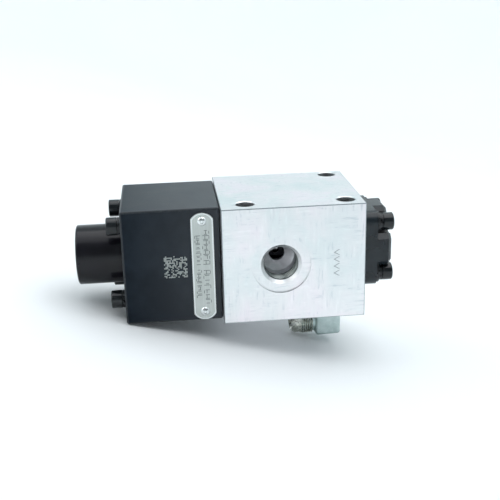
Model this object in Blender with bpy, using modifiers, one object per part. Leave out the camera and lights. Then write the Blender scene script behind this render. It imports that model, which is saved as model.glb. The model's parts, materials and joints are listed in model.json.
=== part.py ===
"""Solenoid directional valve: a 3/2 spool valve in an aluminium block, with its solenoid on one end.

Frame: origin at the centre of the block's top (mounting) face, +Z up out of that face, +X along the spool
from the solenoid to the end cover, -Y out of the inlet port. Lengths are in metres.
"""

import math

import bmesh
import bpy
from mathutils import Matrix, Vector

MM = 0.001

# ---- fits ----
FIT = 0.3 * MM            # clearance all round a piece that sits in another
SEAT = 0.2 * MM           # clearance between two faces that are clamped together
OVERRUN = 1.0 * MM        # how far a cutter passes through the face it opens

# ---- valve block ----
BLOCK_LENGTH = 78.4 * MM
BLOCK_DEPTH = 72.4 * MM
BLOCK_HEIGHT = 65.0 * MM
BLOCK_EDGE = 0.4 * MM
MAIN_BORE_R = 13.0 * MM
PORT_PITCH = 15.5 * MM    # between the inlet, outlet and drain galleries along the spool
INLET_X = -7.1 * MM
PORT_SPOTFACE_R = 16.2 * MM
PORT_SPOTFACE_DEPTH = 1.0 * MM
PORT_MOUTH_R = 11.25 * MM
PORT_THREAD_R = 9.6 * MM
PORT_THREAD_DEPTH = 17.0 * MM
PORT_DRILL_TIP = 3.0 * MM
PORT_GALLERY_R = 4.5 * MM
DRAIN_THREAD_DEPTH = 13.0 * MM
DRAIN_GALLERY_R = 3.5 * MM
MOUNT_HOLE_R = 5.2 * MM
MOUNT_HOLE_DEPTH = 20.0 * MM
MOUNT_HOLE_INSET = 10.1 * MM   # from the front face
LEFT_HOLE_INSET = 13.8 * MM    # from the solenoid end
RIGHT_HOLE_INSET = 9.4 * MM    # from the cover end
REAR_HOLE_INSET = 6.6 * MM     # from the rear face

# ---- socket head cap screws and their washers ----
SCREW_R = 3.0 * MM
SCREW_HEAD_R = 5.0 * MM
SCREW_HEAD_HEIGHT = 6.0 * MM
SCREW_EDGE = 0.5 * MM
HEX_SOCKET_R = 2.87 * MM
HEX_SOCKET_DEPTH = 3.0 * MM
LOCK_WASHER_R = 4.95 * MM
LOCK_WASHER_THICKNESS = 1.6 * MM
LOCK_WASHER_SPLIT = 0.8 * MM
FLAT_WASHER_R = 6.0 * MM
FLAT_WASHER_THICKNESS = 1.6 * MM
TAPPED_HOLE_SPARE = 1.2 * MM   # drilled past the end of the screw

# ---- solenoid housing ----
HOUSING_LENGTH = 53.3 * MM
HOUSING_DEPTH = 59.2 * MM
HOUSING_HEIGHT = 64.4 * MM
HOUSING_EDGE = 1.2 * MM
HOUSING_SCREW_LENGTH = 65.0 * MM
HOUSING_SCREW_Y = 18.0 * MM
HOUSING_SCREW_Z = 21.3 * MM
COIL_CAVITY_R = 22.0 * MM
COIL_CAVITY_DEPTH = 45.0 * MM

# ---- solenoid ----
POLE_FLANGE_THICKNESS = 5.0 * MM
POLE_SPIGOT_LENGTH = 5.9 * MM
POLE_CORE_R = 8.0 * MM
POLE_CORE_LENGTH = 17.6 * MM   # beyond the flange
ARMATURE_LENGTH = 18.0 * MM
STROKE = 3.0 * MM
AIR_GAP_LEFT = 0.5 * MM        # between armature and pole at the end of the stroke
TUBE_WALL = 0.8 * MM
TUBE_END_THICKNESS = 1.6 * MM
TUBE_POCKET_DEPTH = 2.6 * MM
BOBBIN_WALL = 1.5 * MM
BOBBIN_FLANGE = 1.8 * MM
WINDING_INSET = 1.2 * MM       # winding below the rim of the bobbin
PIN_R = 1.8 * MM
PIN_SOCKET_DEPTH = 9.0 * MM    # how far the push pin goes into the armature

# ---- electrical connector ----
SHELL_R = 16.9 * MM
SHELL_LENGTH = 25.9 * MM
SHELL_EDGE = 1.0 * MM
SHELL_WALL = 3.5 * MM            # round the socket
SHELL_SOCKET_DEPTH = 19.8 * MM
SHELL_SHOULDER = 1.9 * MM        # from the spigot out to the shell's side
SHELL_SPIGOT_LENGTH = 4.0 * MM
INSERT_LIP = 1.2 * MM            # the step that the insert rests on
INSERT_THICKNESS = 7.0 * MM
INSERT_KEY_R = 2.6 * MM
INSERT_KEY_HEIGHT = 3.0 * MM
CONTACT_COUNT = 3
CONTACT_R = 1.1 * MM
CONTACT_CIRCLE_R = 6.5 * MM
CONTACT_REAR = 3.0 * MM        # solder end behind the insert
CONTACT_FRONT = 7.5 * MM       # contact in front of the insert
LEAD_R = 0.7 * MM

# ---- sleeve and spool ----
SPOOL_R = 8.0 * MM
SPOOL_WAIST_R = 5.0 * MM
SPOOL_OVERLAP = 1.5 * MM       # land past the edge of a closed chamber
SPOOL_GROOVE = 0.6 * MM        # balancing grooves
CHAMBER_WIDTH = 6.0 * MM
CHAMBER_DEPTH = 1.5 * MM
SLEEVE_GALLERY_WIDTH = 8.0 * MM
SLEEVE_GALLERY_DEPTH = 1.5 * MM
SLEEVE_HOLE_R = 1.9 * MM
SLEEVE_HOLES = 4
O_RING_R = 1.0 * MM            # radius of the sleeve O-rings' section
O_RING_SIDE = 0.3 * MM         # room beside an O-ring in its groove
SMALL_O_RING_R = 0.8 * MM

# ---- end cover, spring and spring seat ----
COVER_RIM = 7.0 * MM             # from the screws' centres out to the plate's sides
COVER_CORNER_R = 7.0 * MM
COVER_PLATE = 10.1 * MM
COVER_HEIGHT = 18.2 * MM
COVER_FLAT = 13.1 * MM         # width of the raised part's four flats
COVER_CHAMFER = 1.8 * MM
COVER_SCREW_OFFSET = 2.0 * MM    # from the main bore's side out to the screws' centres
COVER_SCREW_LENGTH = 25.0 * MM
COVER_COUNTERBORE_R = 7.0 * MM
COVER_SPIGOT_LENGTH = 3.8 * MM
COVER_POCKET_R = 9.0 * MM
COVER_POCKET_DEPTH = 12.8 * MM
COVER_SEAL_OFFSET = 2.4 * MM     # from the main bore out to the seal's centre
SEAT_DISC_THICKNESS = 2.0 * MM
SEAT_STUB_R = 3.6 * MM
SEAT_STUB_LENGTH = 3.4 * MM
SPRING_R = 6.0 * MM
SPRING_WIRE_R = 0.6 * MM
SPRING_TURNS = 6

# ---- nameplate ----
PLATE_WIDTH = 12.2 * MM
PLATE_HEIGHT = 61.6 * MM
PLATE_THICKNESS = 0.6 * MM
PLATE_RISE = 3.5 * MM          # height of the arched ends
PLATE_DROP = 0.8 * MM          # plate's middle below the axis
PLATE_INSET = 3.9 * MM         # from the valve block's end face
RIVET_R = 2.6 * MM
RIVET_HEAD = 1.3 * MM
RIVET_SHANK_R = 1.2 * MM
RIVET_SHANK = 4.0 * MM
RIVET_PITCH = 52.0 * MM

# ---- elbow fitting in the drain port ----
ELBOW_SIZE = 15.0 * MM
ELBOW_EDGE = 1.2 * MM
ELBOW_AXIS_DROP = 17.0 * MM    # outlet axis below the block
ELBOW_BELOW_AXIS = 7.0 * MM
ELBOW_ABOVE_AXIS = 8.0 * MM
ELBOW_YAW = math.radians(4.0)
ELBOW_REACH = 21.7 * MM        # from the stem's axis to the end of the outlet
ELBOW_THREAD_R = 7.0 * MM
ELBOW_RELIEF_R = 5.9 * MM
ELBOW_RELIEF_LENGTH = 0.8 * MM
ELBOW_NOSE_R = 6.2 * MM
ELBOW_NOSE_LENGTH = 5.4 * MM   # beyond the thread, its cone included
ELBOW_NOSE_CONE = 2.0 * MM
ELBOW_TIP_R = 4.7 * MM
ELBOW_BORE_R = 3.4 * MM
ELBOW_STEM_R = 6.5 * MM
ELBOW_STEM_IN_BLOCK = 11.0 * MM
LOCKNUT_R = 10.6 * MM          # across corners, half
LOCKNUT_THICKNESS = 6.0 * MM

# ---- how finely round things are cut ----
FINE = 24
MEDIUM = 16
COARSE = 12
HEX = 6

# ---- derived places, shared by the pieces that meet there ----
AXIS_Z = -BLOCK_HEIGHT / 2
BLOCK_LEFT = -BLOCK_LENGTH / 2
BLOCK_RIGHT = BLOCK_LENGTH / 2
BLOCK_FRONT = -BLOCK_DEPTH / 2
OUTLET_X = INLET_X + PORT_PITCH
DRAIN_X = OUTLET_X + PORT_PITCH
PORTS_X = (INLET_X, OUTLET_X, DRAIN_X)
HOUSING_RIGHT = BLOCK_LEFT - SEAT
HOUSING_LEFT = HOUSING_RIGHT - HOUSING_LENGTH
CAVITY_LEFT = HOUSING_RIGHT - COIL_CAVITY_DEPTH
POLE_FLANGE_LEFT = HOUSING_RIGHT - POLE_FLANGE_THICKNESS
POLE_FACE = POLE_FLANGE_LEFT - POLE_CORE_LENGTH
POLE_SPIGOT_END = HOUSING_RIGHT + POLE_SPIGOT_LENGTH
ARMATURE_RIGHT = POLE_FACE - STROKE - AIR_GAP_LEFT
ARMATURE_LEFT = ARMATURE_RIGHT - ARMATURE_LENGTH
TUBE_INNER_R = POLE_CORE_R + FIT
TUBE_OUTER_R = TUBE_INNER_R + TUBE_WALL
SPOOL_LEFT = POLE_SPIGOT_END + SEAT + FIT
SPOOL_BODY_R = SPOOL_R + FIT
LAND_1_RIGHT = INLET_X + CHAMBER_WIDTH / 2 - SPOOL_OVERLAP
LAND_2_LEFT = DRAIN_X - CHAMBER_WIDTH / 2 - SPOOL_OVERLAP
SLEEVE_LEFT = POLE_SPIGOT_END + FIT
SLEEVE_RIGHT = BLOCK_RIGHT + SEAT - COVER_SPIGOT_LENGTH - 2 * SEAT
SPOOL_RIGHT = SLEEVE_RIGHT - STROKE - FIT
CHAMBER_R = SPOOL_BODY_R + CHAMBER_DEPTH
SLEEVE_GALLERY_R = MAIN_BORE_R - FIT - SLEEVE_GALLERY_DEPTH
O_RING_GROOVE_R = MAIN_BORE_R - FIT - 2 * O_RING_R - FIT
O_RING_CENTRE_R = MAIN_BORE_R - FIT - O_RING_R
O_RING_GROOVE_WIDTH = 2 * (O_RING_R + O_RING_SIDE)
COVER_LEFT = BLOCK_RIGHT + SEAT
COVER_SEAT = COVER_LEFT + COVER_PLATE
COVER_POCKET_END = COVER_LEFT + COVER_POCKET_DEPTH
COVER_SEAL_R = MAIN_BORE_R + COVER_SEAL_OFFSET
COVER_SCREW_PITCH = 2 * (MAIN_BORE_R + COVER_SCREW_OFFSET)
COVER_SIZE = COVER_SCREW_PITCH + 2 * COVER_RIM
SHELL_SOCKET_R = SHELL_R - SHELL_WALL
SHELL_SPIGOT_R = SHELL_R - SHELL_SHOULDER
SHELL_REAR_BORE_R = SHELL_SOCKET_R - INSERT_LIP
LEAD_EXIT_R = SHELL_REAR_BORE_R - LEAD_R - 2 * FIT
ELBOW_AXIS_Z = -BLOCK_HEIGHT - ELBOW_AXIS_DROP
CLEARANCE_HOLE_R = SCREW_R + FIT
HOUSING_FRONT = -HOUSING_DEPTH / 2
PLATE_X = BLOCK_LEFT - PLATE_INSET - PLATE_WIDTH / 2
PLATE_Z = AXIS_Z - PLATE_DROP


# ======================================================================================================
# Helpers
# ======================================================================================================

def start_clean():
    """Empty the scene and make the two collections."""
    for obj in list(bpy.data.objects):
        bpy.data.objects.remove(obj, do_unlink=True)
    for group in list(bpy.data.collections):
        bpy.data.collections.remove(group)
    groups = {}
    for name in ("solenoid_directional_valve", "cutters"):
        groups[name] = bpy.data.collections.new(name)
        bpy.context.scene.collection.children.link(groups[name])
    return groups


GROUPS = start_clean()
PARTS = GROUPS["solenoid_directional_valve"]
CUTTERS = GROUPS["cutters"]
MATERIALS = {}


def material(name, colour, roughness, metallic):
    """One Principled material for one sub-part."""
    mat = bpy.data.materials.new(name)
    mat.use_nodes = True
    shader = mat.node_tree.nodes["Principled BSDF"]
    shader.inputs["Base Color"].default_value = (*colour, 1.0)
    shader.inputs["Roughness"].default_value = roughness
    shader.inputs["Metallic"].default_value = metallic
    mat.diffuse_color = (*colour, 1.0)
    return mat


FINISHES = {
    "aluminium": ((0.80, 0.83, 0.85), 0.35, 1.0),
    "black": ((0.03, 0.035, 0.04), 0.35, 0.0),
    "black_steel": ((0.02, 0.02, 0.022), 0.25, 0.8),
    "steel": ((0.55, 0.56, 0.57), 0.3, 1.0),
    "bright_steel": ((0.70, 0.71, 0.72), 0.2, 1.0),
    "rubber": ((0.02, 0.02, 0.02), 0.7, 0.0),
    "copper": ((0.70, 0.33, 0.17), 0.3, 1.0),
    "brass": ((0.75, 0.60, 0.30), 0.3, 1.0),
    "plastic": ((0.05, 0.05, 0.05), 0.5, 0.0),
    "zinc": ((0.55, 0.58, 0.57), 0.4, 1.0),
}


def finish(obj, name, look, smooth_angle=30.0):
    """Name a piece, give it its own material and shade its round faces smooth."""
    obj.name = name
    obj.data.name = name
    obj.data.materials.clear()
    obj.data.materials.append(material(name, *FINISHES[look]))
    if obj.type == "MESH":
        obj.data.shade_smooth()
        obj.data.set_sharp_from_angle(angle=math.radians(smooth_angle))
    return obj


def add(mesh, name, matrix, group=PARTS):
    """Link a mesh as an object whose own axes are placed by a matrix."""
    obj = bpy.data.objects.new(name, mesh)
    obj.matrix_world = matrix
    group.objects.link(obj)
    return obj


def along_x(x=0.0, y=0.0, z=AXIS_Z, turn=0.0):
    """Local Z becomes world +X, and the piece's origin goes to (x, y, z)."""
    facing = Matrix.Translation((x, y, z)) @ Matrix.Rotation(math.pi / 2, 4, "Y")
    return facing @ Matrix.Rotation(turn, 4, "Z")


def along_y(x, y, z):
    """Local Z becomes world +Y."""
    return Matrix.Translation((x, y, z)) @ Matrix.Rotation(-math.pi / 2, 4, "X")


def upright(x, y, z, turn=0.0):
    """Local Z stays world +Z."""
    return Matrix.Translation((x, y, z)) @ Matrix.Rotation(turn, 4, "Z")


def box_mesh(size):
    """A box centred on its origin."""
    shape = bmesh.new()
    bmesh.ops.create_cube(shape, size=1.0)
    bmesh.ops.scale(shape, vec=size, verts=shape.verts)
    mesh = bpy.data.meshes.new("box")
    shape.to_mesh(mesh)
    shape.free()
    return mesh


def cone_mesh(radius_start, radius_end, start, end, steps):
    """A cylinder or cone along local Z, from start to end."""
    shape = bmesh.new()
    bmesh.ops.create_cone(
        shape, cap_ends=True, segments=steps, radius1=radius_start, radius2=radius_end, depth=end - start,
        matrix=Matrix.Translation((0, 0, (start + end) / 2)),
    )
    mesh = bpy.data.meshes.new("cone")
    shape.to_mesh(mesh)
    shape.free()
    return mesh


def turned(name, outline, matrix, steps=FINE, closed=False, group=PARTS):
    """A turned piece: (radius, height) points down the outer side, spun round local Z."""
    points = [Vector((radius, 0.0, height)) for radius, height in outline]
    count = len(points)
    edges = [(i, (i + 1) % count) for i in range(count if closed else count - 1)]
    mesh = bpy.data.meshes.new(name)
    mesh.from_pydata(points, edges, [])
    obj = add(mesh, name, matrix, group)
    screw = obj.modifiers.new("turn", "SCREW")
    screw.axis = "Z"
    screw.angle = 2 * math.pi
    screw.steps = steps
    screw.render_steps = steps
    screw.use_merge_vertices = True
    screw.merge_threshold = 1e-7
    screw.use_smooth_shade = True
    return obj


def ring_outline(inner, outer, start, end):
    """The outline of a ring from start to end along its axis, for a closed turned piece."""
    return [(outer, end), (outer, start), (inner, start), (inner, end)]


def rod_outline(radius, start, end, edge=0.0):
    """The outline of a solid rod from start to end."""
    if not edge:
        return [(0.0, end), (radius, end), (radius, start), (0.0, start)]
    return [
        (0.0, end), (radius - edge, end), (radius, end - edge), (radius, start + edge),
        (radius - edge, start), (0.0, start),
    ]


def as_cutter(obj):
    """Hide a cutter and keep it out of the parts."""
    obj.hide_render = True
    obj.display_type = "WIRE"
    return obj


def hole(radius, start, end, matrix, steps=MEDIUM, radius_end=None):
    """A round cutter along the matrix's local Z."""
    last = radius if radius_end is None else radius_end
    return as_cutter(add(cone_mesh(radius, last, start, end, steps), "hole", matrix, CUTTERS))


def block_cutter(size, matrix):
    """A box cutter centred on the matrix's origin."""
    return as_cutter(add(box_mesh(size), "pocket", matrix, CUTTERS))


def boolean(obj, others, operation):
    """Cut or join an object with the others, exactly, one modifier each."""
    for other in others:
        step = obj.modifiers.new(operation.lower(), "BOOLEAN")
        step.operation = operation
        step.solver = "EXACT"
        step.object = other
    return obj


def bevel(obj, width, segments=1, angle=35.0):
    """Round or chamfer the sharp edges."""
    step = obj.modifiers.new("edge", "BEVEL")
    step.width = width
    step.segments = segments
    step.limit_method = "ANGLE"
    step.angle_limit = math.radians(angle)
    return obj


def torus(name, ring_radius, section_radius, matrix):
    """An O-ring lying across local Z."""
    outline = []
    for i in range(HEX):
        turn = -2 * math.pi * i / HEX
        outline.append((ring_radius + section_radius * math.cos(turn), section_radius * math.sin(turn)))
    return finish(turned(name, outline, matrix, MEDIUM, closed=True), name, "rubber")


def flat_outline(loops, thickness):
    """A flat curve filled on both sides, its first loop outside and the others holes."""
    curve = bpy.data.curves.new("outline", "CURVE")
    curve.dimensions = "2D"
    curve.fill_mode = "BOTH"
    curve.extrude = thickness / 2
    for loop in loops:
        line = curve.splines.new("POLY")
        line.points.add(len(loop) - 1)
        for point, (x, y) in zip(line.points, loop):
            point.co = (x, y, 0.0, 1.0)
        line.use_cyclic_u = True
    return curve


def curve_to_mesh(curve, name):
    """Turn a curve into a welded mesh and drop the curve."""
    guide = bpy.data.objects.new(name, curve)
    CUTTERS.objects.link(guide)
    depsgraph = bpy.context.evaluated_depsgraph_get()
    mesh = bpy.data.meshes.new_from_object(guide.evaluated_get(depsgraph))
    shape = bmesh.new()
    shape.from_mesh(mesh)
    bmesh.ops.remove_doubles(shape, verts=shape.verts, dist=1e-7)
    shape.to_mesh(mesh)
    shape.free()
    bpy.data.objects.remove(guide, do_unlink=True)
    bpy.data.curves.remove(curve)
    return mesh


def wire(name, points, radius, look, matrix=None):
    """A round wire through the points, with closed ends."""
    curve = bpy.data.curves.new(name, "CURVE")
    curve.dimensions = "3D"
    curve.bevel_depth = radius
    curve.bevel_resolution = 2
    curve.use_fill_caps = True
    line = curve.splines.new("POLY")
    line.points.add(len(points) - 1)
    for point, place in zip(line.points, points):
        point.co = (*place, 1.0)
    mesh = curve_to_mesh(curve, name)
    return finish(add(mesh, name, matrix or Matrix.Identity(4)), name, look)


def prism(loops, thickness):
    """A flat outline, with any holes, as a welded mesh that is thick along local Z and centred on it."""
    return curve_to_mesh(flat_outline(loops, thickness), "prism")


def arc(centre, radius, start, end, count):
    """Points along an arc, both ends included, angles in degrees."""
    points = []
    for i in range(count + 1):
        turn = math.radians(start + (end - start) * i / count)
        points.append((centre[0] + radius * math.cos(turn), centre[1] + radius * math.sin(turn)))
    return points


def corners(half_y, half_z):
    """The four corners of a screw pattern about the spool's axis: top front, top rear, bottom front, rear."""
    return [(side * half_y, AXIS_Z + up * half_z) for up in (1, -1) for side in (-1, 1)]


HOUSING_SCREWS = corners(HOUSING_SCREW_Y, HOUSING_SCREW_Z)
COVER_SCREWS = corners(COVER_SCREW_PITCH / 2, COVER_SCREW_PITCH / 2)
HOUSING_SCREW_TIP = HOUSING_LEFT - SEAT - LOCK_WASHER_THICKNESS - SEAT + HOUSING_SCREW_LENGTH
COVER_HEAD_SEAT = COVER_SEAT + SEAT + FLAT_WASHER_THICKNESS + SEAT + LOCK_WASHER_THICKNESS + SEAT
COVER_SCREW_TIP = COVER_HEAD_SEAT - COVER_SCREW_LENGTH
MOUNT_HOLES = (
    (BLOCK_LEFT + LEFT_HOLE_INSET, BLOCK_FRONT + MOUNT_HOLE_INSET),
    (BLOCK_RIGHT - RIGHT_HOLE_INSET, BLOCK_FRONT + MOUNT_HOLE_INSET),
    (BLOCK_RIGHT - RIGHT_HOLE_INSET, -BLOCK_FRONT - REAR_HOLE_INSET),
)


# ======================================================================================================
# Valve block with its ports and holes
# ======================================================================================================

def port_cutter(matrix):
    """A side port as one cutter: spotface, chamfered mouth, threaded bore, drill tip and gallery."""
    gallery_end = BLOCK_DEPTH / 2 - MAIN_BORE_R * 0.8
    mouth = PORT_MOUTH_R - PORT_THREAD_R
    thread_end = PORT_SPOTFACE_DEPTH + PORT_THREAD_DEPTH
    outline = [
        (0.0, gallery_end), (PORT_GALLERY_R, gallery_end),
        (PORT_GALLERY_R, thread_end + PORT_DRILL_TIP), (PORT_THREAD_R, thread_end),
        (PORT_THREAD_R, PORT_SPOTFACE_DEPTH + mouth), (PORT_MOUTH_R, PORT_SPOTFACE_DEPTH),
        (PORT_SPOTFACE_R, PORT_SPOTFACE_DEPTH), (PORT_SPOTFACE_R, -OVERRUN), (0.0, -OVERRUN),
    ]
    return as_cutter(turned("port", outline, matrix, MEDIUM, group=CUTTERS))


def make_block():
    """The aluminium block, its main bore, three ports, tapped holes and top mounting holes."""
    block = add(box_mesh((BLOCK_LENGTH, BLOCK_DEPTH, BLOCK_HEIGHT)), "valve_body", upright(0, 0, AXIS_Z))
    bevel(block, BLOCK_EDGE)
    half = BLOCK_LENGTH / 2 + OVERRUN
    tools = [hole(MAIN_BORE_R, -half, half, along_x(), FINE)]
    tools.append(port_cutter(along_y(INLET_X, BLOCK_FRONT, AXIS_Z)))
    rear = Matrix.Translation((OUTLET_X, -BLOCK_FRONT, AXIS_Z)) @ Matrix.Rotation(math.pi / 2, 4, "X")
    tools.append(port_cutter(rear))
    drain = upright(DRAIN_X, 0, -BLOCK_HEIGHT)
    tools.append(hole(ELBOW_STEM_R + FIT, -OVERRUN, DRAIN_THREAD_DEPTH, drain))
    tools.append(hole(DRAIN_GALLERY_R, 0, BLOCK_HEIGHT / 2, drain, COARSE))
    for x, y in MOUNT_HOLES:
        tools.append(hole(MOUNT_HOLE_R, -MOUNT_HOLE_DEPTH, OVERRUN, upright(x, y, 0)))
    for y, z in HOUSING_SCREWS:
        end = HOUSING_SCREW_TIP + TAPPED_HOLE_SPARE
        tools.append(hole(CLEARANCE_HOLE_R, BLOCK_LEFT - OVERRUN, end, along_x(0, y, z), COARSE))
    for y, z in COVER_SCREWS:
        end = COVER_SCREW_TIP - TAPPED_HOLE_SPARE
        tools.append(hole(CLEARANCE_HOLE_R, end, BLOCK_RIGHT + OVERRUN, along_x(0, y, z), COARSE))
    boolean(block, tools, "DIFFERENCE")
    finish(block, "valve_body", "aluminium")


# ======================================================================================================
# Sleeve, spool and seals inside the block
# ======================================================================================================

def o_ring_places():
    """Sleeve O-rings: one beyond each end gallery and one between each pair of galleries."""
    step = PORT_PITCH / 2
    beside = SLEEVE_GALLERY_WIDTH / 2 + O_RING_GROOVE_WIDTH / 2 + 1.4 * MM
    return (INLET_X - step, INLET_X + step, OUTLET_X + step, DRAIN_X + beside)


def make_sleeve():
    """The steel sleeve: outer galleries, O-ring grooves, inner chambers and radial holes."""
    outer = MAIN_BORE_R - FIT
    bores = [(SLEEVE_GALLERY_WIDTH / 2, SLEEVE_GALLERY_R, x) for x in PORTS_X]
    bores += [(O_RING_GROOVE_WIDTH / 2, O_RING_GROOVE_R, x) for x in o_ring_places()]
    outline = [(outer, SLEEVE_RIGHT)]
    for half, radius, x in sorted(bores, key=lambda groove: -groove[2]):
        outline += [(outer, x + half), (radius, x + half), (radius, x - half), (outer, x - half)]
    outline += [(outer, SLEEVE_LEFT), (SPOOL_BODY_R, SLEEVE_LEFT)]
    half = CHAMBER_WIDTH / 2
    for x in PORTS_X:
        outline += [(SPOOL_BODY_R, x - half), (CHAMBER_R, x - half)]
        outline += [(CHAMBER_R, x + half), (SPOOL_BODY_R, x + half)]
    outline += [(SPOOL_BODY_R, SLEEVE_RIGHT)]
    sleeve = turned("valve_sleeve", outline, along_x(), FINE, closed=True)
    tools = []
    for x in PORTS_X:
        for i in range(SLEEVE_HOLES // 2):
            turn = math.pi * i / (SLEEVE_HOLES // 2)
            spoke = Matrix.Translation((x, 0, AXIS_Z)) @ Matrix.Rotation(turn, 4, "X")
            tools.append(hole(SLEEVE_HOLE_R, -MAIN_BORE_R, MAIN_BORE_R, spoke, COARSE))
    boolean(sleeve, tools, "DIFFERENCE")
    finish(sleeve, "valve_sleeve", "steel")
    for i, x in enumerate(o_ring_places(), start=1):
        torus(f"sleeve_o_ring_{i}", O_RING_CENTRE_R, O_RING_R, along_x(x))


def make_spool():
    """The spool: two lands joined by a waist, the longer one with two balancing grooves."""
    outline = [(0.0, SPOOL_RIGHT), (SPOOL_R, SPOOL_RIGHT)]
    depth = SPOOL_R - SPOOL_GROOVE
    outline += [(SPOOL_R, LAND_2_LEFT), (SPOOL_WAIST_R, LAND_2_LEFT)]
    outline += [(SPOOL_WAIST_R, LAND_1_RIGHT), (SPOOL_R, LAND_1_RIGHT)]
    length = LAND_1_RIGHT - SPOOL_LEFT
    for share in (0.35, 0.65):
        x = LAND_1_RIGHT - share * length
        outline += [(SPOOL_R, x + SPOOL_GROOVE), (depth, x + SPOOL_GROOVE), (depth, x), (SPOOL_R, x)]
    outline += [(SPOOL_R, SPOOL_LEFT), (0.0, SPOOL_LEFT)]
    finish(turned("spool", outline, along_x(), FINE), "spool", "bright_steel")


# ======================================================================================================
# Screws and washers
# ======================================================================================================

def screw_mesh(length):
    """A socket head cap screw: shank along local +Z from the origin, head along -Z."""
    head = -SCREW_HEAD_HEIGHT
    outline = [
        (0.0, length), (SCREW_R - SCREW_EDGE, length), (SCREW_R, length - SCREW_EDGE), (SCREW_R, 0.0),
        (SCREW_HEAD_R, 0.0), (SCREW_HEAD_R, head + SCREW_EDGE), (SCREW_HEAD_R - SCREW_EDGE, head),
        (0.0, head),
    ]
    blank = turned("screw_blank", outline, Matrix.Identity(4), MEDIUM, group=CUTTERS)
    socket = hole(HEX_SOCKET_R, head - OVERRUN, head + HEX_SOCKET_DEPTH, Matrix.Identity(4), HEX)
    boolean(blank, [socket], "DIFFERENCE")
    depsgraph = bpy.context.evaluated_depsgraph_get()
    mesh = bpy.data.meshes.new_from_object(blank.evaluated_get(depsgraph))
    bpy.data.objects.remove(blank, do_unlink=True)
    return mesh


def lock_washer(name, matrix):
    """A split spring washer, from local Z 0 to its thickness."""
    outline = ring_outline(SCREW_R + FIT, LOCK_WASHER_R, 0.0, LOCK_WASHER_THICKNESS)
    washer = turned(name, outline, matrix, MEDIUM, closed=True)
    length = LOCK_WASHER_R
    slit = matrix @ Matrix.Translation((length / 2 + SCREW_R / 2, 0, LOCK_WASHER_THICKNESS / 2))
    slit = slit @ Matrix.Rotation(math.radians(25), 4, "X")
    gap = block_cutter((length, LOCK_WASHER_SPLIT, 4 * LOCK_WASHER_THICKNESS), slit)
    boolean(washer, [gap], "DIFFERENCE")
    finish(washer, name, "black_steel")


def make_housing_screws():
    """Four long screws through the housing into the block, on lock washers."""
    mesh = screw_mesh(HOUSING_SCREW_LENGTH)
    washer_x = HOUSING_LEFT - SEAT - LOCK_WASHER_THICKNESS
    for i, (y, z) in enumerate(HOUSING_SCREWS, start=1):
        name = f"housing_screw_{i}"
        finish(add(mesh.copy(), name, along_x(washer_x - SEAT, y, z)), name, "black_steel")
        lock_washer(f"housing_lock_washer_{i}", along_x(washer_x, y, z, turn=0.8 * i))
    bpy.data.meshes.remove(mesh)


def make_cover_screws():
    """Four screws through the end cover, on flat and lock washers; their heads face +X."""
    mesh = screw_mesh(COVER_SCREW_LENGTH)
    flat_x = COVER_SEAT + SEAT
    lock_x = flat_x + FLAT_WASHER_THICKNESS + SEAT
    for i, (y, z) in enumerate(COVER_SCREWS, start=1):
        name = f"cover_screw_{i}"
        facing = along_x(COVER_HEAD_SEAT, y, z) @ Matrix.Rotation(math.pi, 4, "X")
        finish(add(mesh.copy(), name, facing), name, "black_steel")
        lock_washer(f"cover_lock_washer_{i}", along_x(lock_x, y, z, turn=1.1 * i))
        flat_name = f"cover_flat_washer_{i}"
        outline = ring_outline(SCREW_R + FIT, FLAT_WASHER_R, 0.0, FLAT_WASHER_THICKNESS)
        flat = turned(flat_name, outline, along_x(flat_x, y, z), MEDIUM, closed=True)
        finish(flat, flat_name, "black_steel")
    bpy.data.meshes.remove(mesh)


# ======================================================================================================
# Solenoid
# ======================================================================================================

def lead_places():
    """The two lead holes, above and below the axis."""
    return ((0.0, AXIS_Z + LEAD_EXIT_R), (0.0, AXIS_Z - LEAD_EXIT_R))


def make_housing():
    """The square housing: coil cavity, guide tube pocket, connector recess, screw and lead holes."""
    centre = (HOUSING_LEFT + HOUSING_RIGHT) / 2
    blank = box_mesh((HOUSING_LENGTH, HOUSING_DEPTH, HOUSING_HEIGHT))
    housing = add(blank, "housing", upright(centre, 0, AXIS_Z))
    bevel(housing, HOUSING_EDGE, 2)
    recess = HOUSING_LEFT + SHELL_SPIGOT_LENGTH + FIT
    tools = [
        hole(COIL_CAVITY_R, CAVITY_LEFT, HOUSING_RIGHT + OVERRUN, along_x(), FINE),
        hole(TUBE_OUTER_R + FIT, CAVITY_LEFT - TUBE_POCKET_DEPTH, CAVITY_LEFT + OVERRUN, along_x(), FINE),
        hole(SHELL_SPIGOT_R + FIT, HOUSING_LEFT - OVERRUN, recess, along_x(), FINE),
    ]
    for y, z in lead_places():
        tools.append(hole(LEAD_R + FIT, recess - OVERRUN, CAVITY_LEFT + OVERRUN, along_x(0, y, z), COARSE))
    for y, z in HOUSING_SCREWS:
        start, end = HOUSING_LEFT - OVERRUN, HOUSING_RIGHT + OVERRUN
        tools.append(hole(CLEARANCE_HOLE_R, start, end, along_x(0, y, z), COARSE))
    for z in rivet_places():
        end = RIVET_SHANK + 2 * FIT
        tools.append(hole(RIVET_SHANK_R + FIT, -OVERRUN, end, along_y(PLATE_X, HOUSING_FRONT, z), COARSE))
    boolean(housing, tools, "DIFFERENCE")
    finish(housing, "solenoid_housing", "black")


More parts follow.
